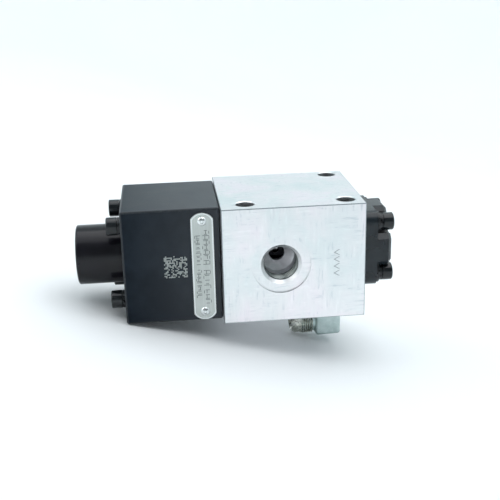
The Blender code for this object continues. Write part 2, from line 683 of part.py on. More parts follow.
def make_magnet():
    """Pole piece, guide tube, bobbin, winding, armature and push pin, all on the spool's axis."""
    groove = (POLE_SPIGOT_END + BLOCK_LEFT) / 2
    half = O_RING_GROOVE_WIDTH / 2
    spigot = MAIN_BORE_R - FIT
    flange = COIL_CAVITY_R - FIT
    bore = PIN_R + FIT
    outline = [
        (spigot, POLE_SPIGOT_END), (spigot, groove + half), (O_RING_GROOVE_R, groove + half),
        (O_RING_GROOVE_R, groove - half), (spigot, groove - half), (spigot, HOUSING_RIGHT),
        (flange, HOUSING_RIGHT), (flange, POLE_FLANGE_LEFT), (POLE_CORE_R, POLE_FLANGE_LEFT),
        (POLE_CORE_R, POLE_FACE), (bore, POLE_FACE), (bore, POLE_SPIGOT_END),
    ]
    finish(turned("pole_piece", outline, along_x(), FINE, closed=True), "pole_piece", "steel")
    torus("pole_seal", O_RING_CENTRE_R, O_RING_R, along_x(groove))

    closed_end = CAVITY_LEFT - TUBE_POCKET_DEPTH + FIT
    outline = [
        (0.0, closed_end + TUBE_END_THICKNESS), (TUBE_INNER_R, closed_end + TUBE_END_THICKNESS),
        (TUBE_INNER_R, POLE_FLANGE_LEFT - FIT), (TUBE_OUTER_R, POLE_FLANGE_LEFT - FIT),
        (TUBE_OUTER_R, closed_end), (0.0, closed_end),
    ]
    finish(turned("guide_tube", outline, along_x(), FINE), "guide_tube", "bright_steel")

    rim = COIL_CAVITY_R - FIT
    hub_in = TUBE_OUTER_R + FIT
    hub = hub_in + BOBBIN_WALL
    right = POLE_FLANGE_LEFT - FIT
    left = CAVITY_LEFT + FIT
    outline = [
        (rim, right), (rim, right - BOBBIN_FLANGE), (hub, right - BOBBIN_FLANGE), (hub, left + BOBBIN_FLANGE),
        (rim, left + BOBBIN_FLANGE), (rim, left), (hub_in, left), (hub_in, right),
    ]
    finish(turned("coil_bobbin", outline, along_x(), FINE, closed=True), "coil_bobbin", "plastic")
    outline = ring_outline(
        hub + FIT, rim - WINDING_INSET, left + BOBBIN_FLANGE + FIT, right - BOBBIN_FLANGE - FIT)
    finish(turned("coil_winding", outline, along_x(), FINE, closed=True), "coil_winding", "copper")

    socket = ARMATURE_RIGHT - PIN_SOCKET_DEPTH - FIT
    outline = [
        (0.0, socket), (bore, socket), (bore, ARMATURE_RIGHT), (POLE_CORE_R, ARMATURE_RIGHT),
        (POLE_CORE_R, ARMATURE_LEFT), (0.0, ARMATURE_LEFT),
    ]
    finish(turned("armature", outline, along_x(), FINE), "armature", "steel")
    pin = rod_outline(PIN_R, socket + FIT, SPOOL_LEFT - FIT, 0.3 * MM)
    finish(turned("push_pin", pin, along_x(), COARSE), "push_pin", "bright_steel")


# ======================================================================================================
# Electrical connector on the housing's end
# ======================================================================================================

def make_connector():
    """Round shell with an open socket, its insert, contacts, seal and the coil leads."""
    face = HOUSING_LEFT - SEAT
    end = face - SHELL_LENGTH
    shoulder = end + SHELL_SOCKET_DEPTH
    spigot_end = HOUSING_LEFT + SHELL_SPIGOT_LENGTH
    seal_x = (face + spigot_end) / 2
    half = SMALL_O_RING_R + O_RING_SIDE
    seal_centre = SHELL_SPIGOT_R - SMALL_O_RING_R
    groove = seal_centre - SMALL_O_RING_R - FIT
    outline = [
        (SHELL_SPIGOT_R, spigot_end), (SHELL_SPIGOT_R, seal_x + half), (groove, seal_x + half),
        (groove, seal_x - half), (SHELL_SPIGOT_R, seal_x - half), (SHELL_SPIGOT_R, face), (SHELL_R, face),
    ]
    for radius, along in reversed(arc((SHELL_R - SHELL_EDGE, end + SHELL_EDGE), SHELL_EDGE, -90, 0, 3)):
        outline.append((radius, along))
    outline += [
        (SHELL_SOCKET_R, end), (SHELL_SOCKET_R, shoulder),
        (SHELL_REAR_BORE_R, shoulder), (SHELL_REAR_BORE_R, spigot_end),
    ]
    finish(turned("connector_shell", outline, along_x(), FINE, closed=True), "connector_shell", "black")
    torus("connector_seal", seal_centre, SMALL_O_RING_R, along_x(seal_x))

    rear = shoulder - FIT
    front = rear - INSERT_THICKNESS
    key = front - INSERT_KEY_HEIGHT
    outline = [
        (0.0, rear), (SHELL_SOCKET_R - FIT, rear), (SHELL_SOCKET_R - FIT, front),
        (INSERT_KEY_R, front), (INSERT_KEY_R, key), (0.0, key),
    ]
    insert = turned("contact_insert", outline, along_x(), FINE)
    places = []
    for i in range(CONTACT_COUNT):
        turn = 2 * math.pi * i / CONTACT_COUNT + math.pi / 2
        places.append((CONTACT_CIRCLE_R * math.cos(turn), AXIS_Z + CONTACT_CIRCLE_R * math.sin(turn)))
    start, stop = front - OVERRUN, rear + OVERRUN
    tools = [hole(CONTACT_R + FIT, start, stop, along_x(0, y, z), COARSE) for y, z in places]
    boolean(insert, tools, "DIFFERENCE")
    finish(insert, "contact_insert", "plastic")
    for i, (y, z) in enumerate(places, start=1):
        name = f"contact_pin_{i}"
        pin = rod_outline(CONTACT_R, front - CONTACT_FRONT, rear + CONTACT_REAR, 0.3 * MM)
        finish(turned(name, pin, along_x(0, y, z), COARSE), name, "brass")

    solder_end = rear + CONTACT_REAR + FIT
    bend = spigot_end - 2 * MM
    for i, ((y_to, z_to), (y, z)) in enumerate(zip(lead_places(), places[::2]), start=1):
        path = [
            (solder_end, y, z), (solder_end + 0.4 * (bend - solder_end), y, z), (bend, y_to, z_to),
            (CAVITY_LEFT, y_to, z_to),
        ]
        wire(f"coil_lead_{i}", path, LEAD_R, "copper")


# ======================================================================================================
# End cover, spring and spring seat
# ======================================================================================================

def octagon(size, flat):
    """A square of the given size with its corners cut to leave flats."""
    half, part = size / 2, flat / 2
    return [
        (half, -part), (half, part), (part, half), (-part, half),
        (-half, part), (-half, -part), (-part, -half), (part, -half),
    ]


def make_cover():
    """Square plate with a raised eight-sided middle, counterbored for the screws, and a hollow spigot."""
    half = COVER_SIZE / 2
    middle = half - COVER_CORNER_R
    outline = []
    for i, (u, v) in enumerate(((1, 1), (-1, 1), (-1, -1), (1, -1))):
        outline += arc((u * middle, v * middle), COVER_CORNER_R, 90 * i, 90 * i + 90, 4)
    plate = prism([outline], COVER_PLATE)
    cover = add(plate, "end_cover", along_x(COVER_LEFT + COVER_PLATE / 2))
    below = 2.0 * MM
    rise = COVER_HEIGHT - COVER_PLATE + below
    raised = add(prism([octagon(COVER_SIZE, COVER_FLAT)], rise), "raised",
                 along_x(COVER_LEFT + COVER_HEIGHT - rise / 2), CUTTERS)
    shape = bmesh.new()
    shape.from_mesh(raised.data)
    top = [edge for edge in shape.edges if all(vert.co.z > rise / 2 - 1e-6 for vert in edge.verts)]
    rim = [edge for edge in top if len({face.normal.z > 0.5 for face in edge.link_faces}) == 2]
    bmesh.ops.bevel(shape, geom=rim, offset=COVER_CHAMFER, segments=1, affect="EDGES")
    shape.to_mesh(raised.data)
    shape.free()
    spigot = MAIN_BORE_R - FIT
    outline = rod_outline(spigot, COVER_LEFT - COVER_SPIGOT_LENGTH, COVER_LEFT + below)
    guide = turned("spigot", outline, along_x(), FINE, group=CUTTERS)
    boolean(cover, [as_cutter(raised), as_cutter(guide)], "UNION")
    mouth = COVER_LEFT - COVER_SPIGOT_LENGTH - OVERRUN
    tools = [hole(COVER_POCKET_R, mouth, COVER_POCKET_END, along_x(), FINE)]
    seal_half = SMALL_O_RING_R + O_RING_SIDE
    groove = ring_outline(
        COVER_SEAL_R - seal_half, COVER_SEAL_R + seal_half, COVER_LEFT - OVERRUN, cover_seal_x() + seal_half)
    tools.append(as_cutter(turned("groove", groove, along_x(), FINE, closed=True, group=CUTTERS)))
    for y, z in COVER_SCREWS:
        start, end = COVER_LEFT - OVERRUN, COVER_LEFT + COVER_HEIGHT + OVERRUN
        tools.append(hole(CLEARANCE_HOLE_R, start, end, along_x(0, y, z), COARSE))
        tools.append(hole(COVER_COUNTERBORE_R, COVER_SEAT, end, along_x(0, y, z), MEDIUM))
    boolean(cover, tools, "DIFFERENCE")
    finish(cover, "end_cover", "black")
    torus("cover_seal", COVER_SEAL_R, SMALL_O_RING_R, along_x(cover_seal_x()))


def cover_seal_x():
    """The cover seal's plane: clear of the block's face."""
    return BLOCK_RIGHT + FIT + SMALL_O_RING_R


def make_spring():
    """Spring seat on the spool's end, and the return spring between it and the cover's pocket."""
    start = SPOOL_RIGHT + FIT
    disc = start + SEAT_DISC_THICKNESS
    outline = [
        (0.0, disc + SEAT_STUB_LENGTH), (SEAT_STUB_R, disc + SEAT_STUB_LENGTH), (SEAT_STUB_R, disc),
        (SPOOL_R - 0.5 * MM, disc), (SPOOL_R - 0.5 * MM, start), (0.0, start),
    ]
    finish(turned("spring_seat", outline, along_x(), MEDIUM), "spring_seat", "steel")

    first = disc + FIT + SPRING_WIRE_R
    last = COVER_POCKET_END - FIT - SPRING_WIRE_R
    steps = 8
    count = SPRING_TURNS * steps
    points = []
    for i in range(count + 1):
        turn = 2 * math.pi * i / steps
        share = min(max((i - steps) / (count - 2 * steps), 0.0), 1.0)
        lift = 2 * SPRING_WIRE_R * 1.2
        closing = min(i, steps) / steps * lift + max(i - (count - steps), 0) / steps * lift
        x = first + closing + share * (last - first - 2 * lift)
        points.append((x, SPRING_R * math.cos(turn), AXIS_Z + SPRING_R * math.sin(turn)))
    wire("return_spring", points, SPRING_WIRE_R, "bright_steel")


# ======================================================================================================
# Nameplate and rivets on the housing's front
# ======================================================================================================

def rivet_places():
    """The rivets' heights, about the middle of the plate."""
    return (PLATE_Z + RIVET_PITCH / 2, PLATE_Z - RIVET_PITCH / 2)


def make_nameplate():
    """A thin plate with shallow arched ends and a rivet at each end."""
    half_width, half_height = PLATE_WIDTH / 2, PLATE_HEIGHT / 2
    radius = (half_width ** 2 + PLATE_RISE ** 2) / (2 * PLATE_RISE)
    spread = math.degrees(math.atan2(half_width, radius - PLATE_RISE))
    outline = arc((0.0, half_height - radius), radius, 90 - spread, 90 + spread, 10)
    outline += [(-x, -y) for x, y in outline]
    plate_y = HOUSING_FRONT - SEAT - PLATE_THICKNESS / 2
    facing = Matrix.Translation((PLATE_X, plate_y, PLATE_Z)) @ Matrix.Rotation(math.pi / 2, 4, "X")
    turn = 360 / COARSE
    holes = [arc((0.0, z - PLATE_Z), RIVET_SHANK_R + FIT, 0, 360 - turn, COARSE - 1) for z in rivet_places()]
    plate = add(prism([outline] + holes, PLATE_THICKNESS), "nameplate", facing)
    finish(plate, "nameplate", "aluminium")

    base = PLATE_THICKNESS + 2 * SEAT
    sphere = (RIVET_R ** 2 + RIVET_HEAD ** 2) / (2 * RIVET_HEAD)
    spread = math.degrees(math.asin(RIVET_R / sphere))
    dome = [(r, base + along) for r, along in arc((0.0, RIVET_HEAD - sphere), sphere, 90, 90 - spread, 3)]
    dome[0] = (0.0, dome[0][1])
    outline = dome + [(RIVET_SHANK_R, base), (RIVET_SHANK_R, -RIVET_SHANK), (0.0, -RIVET_SHANK)]
    for i, z in enumerate(rivet_places(), start=1):
        name = f"nameplate_rivet_{i}"
        facing = Matrix.Translation((PLATE_X, HOUSING_FRONT, z)) @ Matrix.Rotation(math.pi / 2, 4, "X")
        finish(turned(name, outline, facing, MEDIUM), name, "bright_steel")


# ======================================================================================================
# Elbow fitting in the drain port
# ======================================================================================================

def make_elbow():
    """Square elbow with a stem up into the block and a threaded outlet, its locknut and its O-ring."""
    place = upright(DRAIN_X, 0, ELBOW_AXIS_Z, ELBOW_YAW)
    height = ELBOW_ABOVE_AXIS + ELBOW_BELOW_AXIS
    shift = (ELBOW_ABOVE_AXIS - ELBOW_BELOW_AXIS) / 2
    body = add(box_mesh((ELBOW_SIZE, ELBOW_SIZE, height)), "elbow", place @ Matrix.Translation((0, 0, shift)))
    bevel(body, ELBOW_EDGE, 2)
    stem_top = ELBOW_AXIS_DROP + ELBOW_STEM_IN_BLOCK
    stem = turned("stem", rod_outline(ELBOW_STEM_R, 0.0, stem_top, 0.8 * MM), place, MEDIUM, group=CUTTERS)
    relief_end = ELBOW_SIZE / 2 + ELBOW_RELIEF_LENGTH
    thread_end = ELBOW_REACH - ELBOW_NOSE_LENGTH
    outline = [
        (0.0, ELBOW_REACH), (ELBOW_TIP_R, ELBOW_REACH), (ELBOW_NOSE_R, ELBOW_REACH - ELBOW_NOSE_CONE),
        (ELBOW_NOSE_R, thread_end), (ELBOW_THREAD_R, thread_end), (ELBOW_THREAD_R, relief_end),
        (ELBOW_RELIEF_R, relief_end), (ELBOW_RELIEF_R, 0.0), (0.0, 0.0),
    ]
    outward = place @ Matrix.Rotation(-math.pi / 2, 4, "Y")
    outlet = turned("outlet", outline, outward, MEDIUM, group=CUTTERS)
    boolean(body, [as_cutter(stem), as_cutter(outlet)], "UNION")
    tools = [
        hole(ELBOW_BORE_R, -ELBOW_BORE_R, stem_top + OVERRUN, place, COARSE),
        hole(ELBOW_BORE_R, 0.0, ELBOW_REACH + OVERRUN, outward, COARSE),
    ]
    boolean(body, tools, "DIFFERENCE")
    finish(body, "elbow_fitting", "zinc")

    seal_z = -BLOCK_HEIGHT - FIT - SMALL_O_RING_R
    torus("elbow_seal", ELBOW_STEM_R + FIT + SMALL_O_RING_R, SMALL_O_RING_R, upright(DRAIN_X, 0, seal_z))
    nut_top = seal_z - SMALL_O_RING_R - FIT
    turn = math.radians(12)
    nut = add(cone_mesh(LOCKNUT_R, LOCKNUT_R, -LOCKNUT_THICKNESS, 0.0, HEX), "locknut",
              upright(DRAIN_X, 0, nut_top, turn))
    bore = hole(ELBOW_STEM_R + FIT, -LOCKNUT_THICKNESS - OVERRUN, OVERRUN, nut.matrix_world)
    boolean(nut, [bore], "DIFFERENCE")
    finish(nut, "elbow_locknut", "zinc")


def main():
    make_block()
    make_sleeve()
    make_spool()
    make_housing()
    make_housing_screws()
    make_magnet()
    make_connector()
    make_cover()
    make_cover_screws()
    make_spring()
    make_nameplate()
    make_elbow()


main()
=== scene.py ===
import json
import math
import random

import bmesh
import bpy
from mathutils import Matrix, Vector


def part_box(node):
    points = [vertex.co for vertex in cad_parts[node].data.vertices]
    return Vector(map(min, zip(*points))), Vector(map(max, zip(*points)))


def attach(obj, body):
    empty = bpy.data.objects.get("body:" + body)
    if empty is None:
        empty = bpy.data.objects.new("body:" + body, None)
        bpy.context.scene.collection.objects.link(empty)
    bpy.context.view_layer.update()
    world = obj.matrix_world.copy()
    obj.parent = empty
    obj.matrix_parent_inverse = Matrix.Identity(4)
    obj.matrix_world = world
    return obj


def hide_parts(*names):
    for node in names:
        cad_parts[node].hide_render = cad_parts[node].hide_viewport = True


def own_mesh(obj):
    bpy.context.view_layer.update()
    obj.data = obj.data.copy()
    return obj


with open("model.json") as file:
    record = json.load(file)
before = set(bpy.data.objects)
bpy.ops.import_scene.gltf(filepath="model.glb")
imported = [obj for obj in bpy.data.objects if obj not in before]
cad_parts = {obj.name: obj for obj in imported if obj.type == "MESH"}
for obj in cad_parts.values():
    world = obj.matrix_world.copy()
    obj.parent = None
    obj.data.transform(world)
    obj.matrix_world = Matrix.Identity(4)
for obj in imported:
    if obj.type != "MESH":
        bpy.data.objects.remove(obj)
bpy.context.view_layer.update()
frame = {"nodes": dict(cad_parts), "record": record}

MM = 0.001


def low(node):
    """The lowest corner of a CAD node's box."""
    return Vector(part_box(node)[0])


def high(node):
    """The highest corner of a CAD node's box."""
    return Vector(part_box(node)[1])


def middle(node):
    """The centre of a CAD node's box."""
    return (low(node) + high(node)) / 2


# ---- sizes the looks share with the construction, in metres ----
BLOCK_LOW, BLOCK_HIGH = low("valve_body"), high("valve_body")
HOUSING_LOW, HOUSING_HIGH = low("solenoid_housing"), high("solenoid_housing")
AXIS_Z = (BLOCK_LOW.z + BLOCK_HIGH.z) / 2
MAIN_BORE_R = 13.0 * MM
INLET_X = -7.1 * MM
DRAIN_X = middle("elbow_locknut").x
OUTLET_X = (INLET_X + DRAIN_X) / 2
GAP = 0.3 * MM                   # what the housing's hollows keep from the pieces in them
FACE_GAP = 0.2 * MM              # what two faces that meet keep from each other
PAST = 1.0 * MM                  # how far a cutter runs past what it cuts
SPOTFACE_R, SPOTFACE_DEPTH = 16.2 * MM, 1.0 * MM
PORT_MOUTH_R, PORT_BORE_R = 11.25 * MM, 9.6 * MM
PORT_DEPTH, PORT_TIP, GALLERY_R = 18.0 * MM, 3.0 * MM, 4.5 * MM
MOUNT_R, MOUNT_DEPTH = 5.2 * MM, 20.0 * MM
MOUNT_HOLES = ((-25.4 * MM, -26.1 * MM), (29.8 * MM, -26.1 * MM), (29.8 * MM, 29.6 * MM))
PORT_PITCH, PORT_TURNS, PORT_RIDGE = 1.5 * MM, 5.5, 0.5 * MM
CHEVRON = (2.8 * MM, 3.2 * MM, 0.48 * MM)
CHEVRON_X, CHEVRON_Z, CHEVRON_STEP = 21.3 * MM, AXIS_Z - 0.4 * MM, 4.0 * MM
ENGRAVED, FILLING_BACK, FILLING = 0.3 * MM, 0.09 * MM, 0.08 * MM
HEAD_R, HEAD_HEIGHT, SHANK_R = 5.0 * MM, 6.0 * MM, 3.0 * MM
HOLE_R, SCREW_ROOM = 3.3 * MM, 1.2 * MM
HEX_R, HEX_DEPTH = 2.87 * MM, 3.0 * MM
SOCKET_R, RIVET_HOLE_R, SEAL_GROOVE = 13.4 * MM, 1.5 * MM, 1.1 * MM
LOCK_R, FLAT_R = 4.95 * MM, 6.0 * MM
ELBOW_DROP, ELBOW_TURN = 17.0 * MM, math.radians(4.0)
SMOOTH = 96
ROUND = 64

random.seed(7)


# ---- mesh helpers ----

def along_x(x=0.0, y=0.0, z=AXIS_Z, turn=0.0):
    """Local Z becomes +X."""
    return Matrix.Translation((x, y, z)) @ Matrix.Rotation(math.pi / 2, 4, "Y") @ Matrix.Rotation(turn, 4, "Z")


def into_front(x, y, z):
    """Local Z becomes +Y."""
    return Matrix.Translation((x, y, z)) @ Matrix.Rotation(-math.pi / 2, 4, "X")


def into_rear(x, y, z):
    """Local Z becomes -Y."""
    return Matrix.Translation((x, y, z)) @ Matrix.Rotation(math.pi / 2, 4, "X")


def upright(x, y, z, turn=0.0):
    """Local Z stays +Z."""
    return Matrix.Translation((x, y, z)) @ Matrix.Rotation(turn, 4, "Z")


def link(mesh, name, matrix=None):
    """Link a mesh with its place baked in, so its own coordinates are the frame's."""
    if matrix is not None:
        mesh.transform(matrix)
    obj = bpy.data.objects.new(name, mesh)
    bpy.context.scene.collection.objects.link(obj)
    return obj


def to_mesh(shape, name):
    """Turn a bmesh into a mesh with its faces pointing out."""
    bmesh.ops.recalc_face_normals(shape, faces=shape.faces)
    mesh = bpy.data.meshes.new(name)
    shape.to_mesh(mesh)
    shape.free()
    return mesh


def box(name, size, matrix):
    """A box centred on its place."""
    shape = bmesh.new()
    bmesh.ops.create_cube(shape, size=1.0)
    bmesh.ops.scale(shape, vec=size, verts=shape.verts)
    return link(to_mesh(shape, name), name, matrix)


def turned(name, outline, matrix, steps=ROUND, closed=False):
    """(radius, height) points spun round local Z."""
    shape = bmesh.new()
    rings = []
    for i in range(steps):
        turn = 2 * math.pi * i / steps
        c, s = math.cos(turn), math.sin(turn)
        rings.append([shape.verts.new((r * c, r * s, h)) for r, h in outline])
    count = len(outline)
    for i in range(steps):
        here, after = rings[i], rings[(i + 1) % steps]
        for j in range(count if closed else count - 1):
            k = (j + 1) % count
            shape.faces.new((here[j], here[k], after[k], after[j]))
    bmesh.ops.remove_doubles(shape, verts=shape.verts, dist=1e-7)
    return link(to_mesh(shape, name), name, matrix)


def arc(centre, radius, start, end, count):
    """Points along an arc, both ends included, angles in degrees."""
    points = []
    for i in range(count + 1):
        turn = math.radians(start + (end - start) * i / count)
        points.append((centre[0] + radius * math.cos(turn), centre[1] + radius * math.sin(turn)))
    return points


def prism(name, outline, thickness, matrix):
    """A flat outline, thick along local Z and centred on it."""
    shape = bmesh.new()
    base = [shape.verts.new((x, y, -thickness / 2)) for x, y in outline]
    face = shape.faces.new(base)
    raised = bmesh.ops.extrude_face_region(shape, geom=[face])
    moved = [item for item in raised["geom"] if isinstance(item, bmesh.types.BMVert)]
    bmesh.ops.translate(shape, vec=(0, 0, thickness), verts=moved)
    return link(to_mesh(shape, name), name, matrix)


def rod(radius, start, end, matrix, steps=ROUND):
    """A plain round cutter or boss along local Z."""
    return turned("rod", [(0, start), (radius, start), (radius, end), (0, end)], matrix, steps)


def swept(name, rings, matrix=None):
    """A skin over rings of points, with a flat cap at each end."""
    shape = bmesh.new()
    rows = [[shape.verts.new(point) for point in ring] for ring in rings]
    for here, after in zip(rows, rows[1:]):
        for j in range(len(here)):
            k = (j + 1) % len(here)
            shape.faces.new((here[j], here[k], after[k], after[j]))
    shape.faces.new(rows[0])
    shape.faces.new(rows[-1])
    return link(to_mesh(shape, name), name, matrix)


def helix(name, root, crest, pitch, turns, matrix, steps=48):
    """A thread ridge along local +Z, from radius root to radius crest, running out at both ends."""
    total = int(turns * steps)
    rings = []
    for i in range(total + 1):
        turn = 2 * math.pi * i / steps
        fade = min(1.0, i / (steps / 2), (total - i) / (steps / 2))
        tip = root + (crest - root) * max(fade, 0.02)
        rise = pitch * i / steps
        ring = []
        for radius, shift in ((root, -0.44), (tip, -0.08), (tip, 0.08), (root, 0.44)):
            ring.append((radius * math.cos(turn), radius * math.sin(turn), rise + shift * pitch))
        rings.append(ring)
    return swept(name, rings, matrix)


def split_ring(name, inner, outer, thickness, matrix, gap=9.0, rise=0.12 * MM, steps=56):
    """A spring lock washer: a rectangular section swept round, with a slanted gap between its ends."""
    rings = []
    span = 360.0 - gap
    section = ((outer, 0.0), (outer, 1.0), (inner, 1.0), (inner, 0.0))
    for i in range(steps + 1):
        share = i / steps
        ring = []
        for radius, level in section:
            slant = gap * 0.9 * (level - 0.5)
            turn = math.radians(gap / 2 + span * share + slant)
            height = thickness * level + rise * (share - 0.5) * 2 * (1 if level else 0)
            ring.append((radius * math.cos(turn), radius * math.sin(turn), height))
        rings.append(ring)
    return swept(name, rings, matrix)


def bevel(obj, width, segments=3, angle=30.0, slot=None):
    """Round the edges; the new faces may take another material slot."""
    step = obj.modifiers.new("edge", "BEVEL")
    step.width = width
    step.segments = segments
    step.limit_method = "ANGLE"
    step.angle_limit = math.radians(angle)
    step.miter_outer = "MITER_ARC"
    if slot is not None:
        step.material = slot
    return obj


def boolean(obj, others, operation="DIFFERENCE"):
    """Cut or join with the others, exactly."""
    for other in others:
        step = obj.modifiers.new("boolean", "BOOLEAN")
        step.operation = operation
        step.solver = "EXACT"
        step.object = other
    return obj


def bake(obj, smooth=35.0, tools=()):
    """Apply the modifiers, drop the tools and shade: round faces smooth, flats flat."""
    depsgraph = bpy.context.evaluated_depsgraph_get()
    mesh = bpy.data.meshes.new_from_object(obj.evaluated_get(depsgraph))
    obj.modifiers.clear()
    obj.data = mesh
    mesh.name = obj.name
    for tool in tools:
        bpy.data.objects.remove(tool, do_unlink=True)
    shade(obj, smooth)
    return obj


def shade(obj, smooth=35.0):
    """Smooth shading with sharp edges and flat faces kept flat."""
    obj.data.shade_smooth()
    obj.data.set_sharp_from_angle(angle=math.radians(smooth))
    weighted = obj.modifiers.new("flats", "WEIGHTED_NORMAL")
    weighted.keep_sharp = True
    return obj


def wear(obj, *materials):
    """Give a piece its materials, the first on its own faces."""
    old = len(obj.data.materials)
    for i, mat in enumerate(materials):
        if i < old:
            obj.data.materials[i] = mat
        else:
            obj.data.materials.append(mat)
    return obj


def place(obj, body, slot, *nodes):
    """Ride a piece on its body and hide the CAD nodes it stands for; the slot is not used."""
    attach(obj, body)
    if nodes:
        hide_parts(*nodes)
    return obj


# ---- materials ----

class Finish:
    """One Principled material and short ways to drive it from procedural textures."""

    def __init__(self, name, colour, roughness, metallic=0.0, **sockets):
        self.mat = bpy.data.materials.new(name)
        self.mat.use_nodes = True
        self.tree = self.mat.node_tree
        self.shader = self.tree.nodes["Principled BSDF"]
        self.set("Base Color", (*colour, 1.0))
        self.set("Roughness", roughness)
        self.set("Metallic", metallic)
        for key, value in sockets.items():
            self.set(key.replace("_", " "), value)
        self.where = self.node("ShaderNodeTexCoord").outputs["Object"]

    def set(self, socket, value):
        self.shader.inputs[socket].default_value = value

    def node(self, kind, **values):
        made = self.tree.nodes.new(kind)
        for key, value in values.items():
            setattr(made, key, value)
        return made

    def wire(self, start, end):
        self.tree.links.new(start, end)

    def noise(self, scale, stretch=(1, 1, 1), detail=3.0, rough=0.5, distort=0.0):
        """Noise between 0 and 1, its grain scale per metre, stretched by the mapping."""
        mapping = self.node("ShaderNodeMapping")
        mapping.inputs["Scale"].default_value = stretch
        self.wire(self.where, mapping.inputs["Vector"])
        tex = self.node("ShaderNodeTexNoise")
        tex.inputs["Scale"].default_value = scale
        tex.inputs["Detail"].default_value = detail
        tex.inputs["Roughness"].default_value = rough
        tex.inputs["Distortion"].default_value = distort
        self.wire(mapping.outputs["Vector"], tex.inputs["Vector"])
        return tex.outputs["Fac"]

    def waves(self, scale, direction="X", distort=0.0):
        """Bands across one axis, as turning marks."""
        tex = self.node("ShaderNodeTexWave", wave_type="BANDS", bands_direction=direction)
        tex.inputs["Scale"].default_value = scale
        tex.inputs["Distortion"].default_value = distort
        tex.inputs["Detail"].default_value = 2.0
        tex.inputs["Detail Scale"].default_value = 1.5
        self.wire(self.where, tex.inputs["Vector"])
        return tex.outputs["Fac"]

    def spread(self, factor, low_value, high_value, start=0.3, end=0.7):
        """Map a 0 to 1 factor to a range of values."""
        node = self.node("ShaderNodeMapRange")
        node.inputs["From Min"].default_value = start
        node.inputs["From Max"].default_value = end
        node.inputs["To Min"].default_value = low_value
        node.inputs["To Max"].default_value = high_value
        self.wire(factor, node.inputs["Value"])
        return node.outputs["Result"]

    def tint(self, factor, stops):
        """A colour ramp over a factor."""
        node = self.node("ShaderNodeValToRGB")
        ramp = node.color_ramp
        ramp.elements[0].position, ramp.elements[0].color = stops[0][0], (*stops[0][1], 1.0)
        ramp.elements[1].position, ramp.elements[1].color = stops[-1][0], (*stops[-1][1], 1.0)
        for position, colour in stops[1:-1]:
            ramp.elements.new(position).color = (*colour, 1.0)
        self.wire(factor, node.inputs["Fac"])
        return node.outputs["Color"]

    def mix(self, a, b, share=0.5):
        """Blend two factors by a share, which may itself be a factor."""
        node = self.node("ShaderNodeMix", data_type="FLOAT")
        if isinstance(share, float):
            node.inputs[0].default_value = share
        else:
            self.wire(share, node.inputs[0])
        self.wire(a, node.inputs[2])
        self.wire(b, node.inputs[3])
        return node.outputs[0]

    def colour(self, output):
        self.wire(output, self.shader.inputs["Base Color"])
        return self

    def rough(self, output):
        self.wire(output, self.shader.inputs["Roughness"])
        return self

    def bump(self, output, strength, distance=0.05 * MM):
        node = self.node("ShaderNodeBump")
        node.inputs["Strength"].default_value = strength
        node.inputs["Distance"].default_value = distance
        self.wire(output, node.inputs["Height"])
        self.wire(node.outputs["Normal"], self.shader.inputs["Normal"])
        return self


def speckled(name, colour, roughness, metallic, scale, detail=3.0, grit=0.5, tones=None, span=None, relief=None,
             **sockets):
    """A finish that follows one noise: its colour by tones, roughness by span, relief by strength and depth."""
    look = Finish(name, colour, roughness, metallic, **sockets)
    marks = look.noise(scale, (1, 1, 1), detail, grit)
    if tones:
        look.colour(look.tint(marks, tones))
    if span:
        look.rough(look.spread(marks, *span))
    if relief:
        look.bump(marks, *relief)
    return look.mat


def machined_aluminium():
    """Bright cut aluminium: patches of fine tool streaks, sparse scratches, pale cyan and lavender clouding."""
    look = Finish("machined_aluminium", (0.82, 0.86, 0.89), 0.36, 1.0)
    along = look.noise(680, (0.12, 1.0, 0.9), 4.0, 0.66, 0.2)
    across = look.noise(600, (0.9, 0.8, 0.13), 4.0, 0.66, 0.2)
    patches = look.spread(look.noise(95, (1, 1, 1), 3.0, 0.6), 0.0, 1.0, 0.44, 0.56)
    both = look.mix(along, across, patches)
    clouds = look.noise(34, (1.0, 1.0, 0.6), 3.0, 0.6, 0.5)
    tinted = look.tint(clouds, (
        (0.36, (0.785, 0.83, 0.835)), (0.5, (0.86, 0.86, 0.87)), (0.62, (0.90, 0.86, 0.89))))
    scratch = look.tint(both, (
        (0.32, (0.78, 0.81, 0.83)), (0.42, (0.96, 0.96, 0.965)), (0.57, (1.0, 1.0, 1.0)), (0.66, (1.06, 1.06, 1.06))))
    mix = look.node("ShaderNodeMix", data_type="RGBA", blend_type="MULTIPLY")
    mix.inputs[0].default_value = 1.0
    look.wire(tinted, mix.inputs[6])
    look.wire(scratch, mix.inputs[7])
    look.colour(mix.outputs[2])
    look.rough(look.spread(both, 0.28, 0.44, 0.35, 0.65))
    return look.bump(both, 0.16, 0.03 * MM).mat


def bored_aluminium():
    """The ports' drilled and threaded insides."""
    look = Finish("bored_aluminium", (0.27, 0.295, 0.285), 0.26, 1.0)
    marks = look.waves(500, "Y")
    look.rough(look.spread(marks, 0.22, 0.36, 0.0, 1.0))
    return look.bump(marks, 0.2, 0.03 * MM).mat


def black_housing():
    """Black anodised housing: satin, very fine grain, faint blue clouding and a painted sheen that grows towards its
    right end.
    """
    look = Finish("black_housing", (0.006, 0.011, 0.018), 0.36, 0.0, Specular_IOR_Level=0.34)
    grain = look.noise(5200, (1, 1, 1), 2.0)
    clouds = look.noise(45, (1, 1, 1), 4.0, 0.6)
    look.colour(look.tint(clouds, ((0.38, (0.004, 0.009, 0.016)), (0.62, (0.010, 0.017, 0.026)))))
    look.rough(look.spread(look.mix(grain, clouds, 0.5), 0.30, 0.44))
    # painted sheen: the specular level rises towards +X, so the housing's right end reflects more light than its left
    axes = look.node("ShaderNodeSeparateXYZ")
    look.wire(look.where, axes.inputs["Vector"])
    painted_sheen = look.spread(axes.outputs["X"], 0.09, 0.52, HOUSING_LOW.x, HOUSING_HIGH.x)
    look.wire(painted_sheen, look.shader.inputs["Specular IOR Level"])
    return look.bump(grain, 0.08, 0.03 * MM).mat


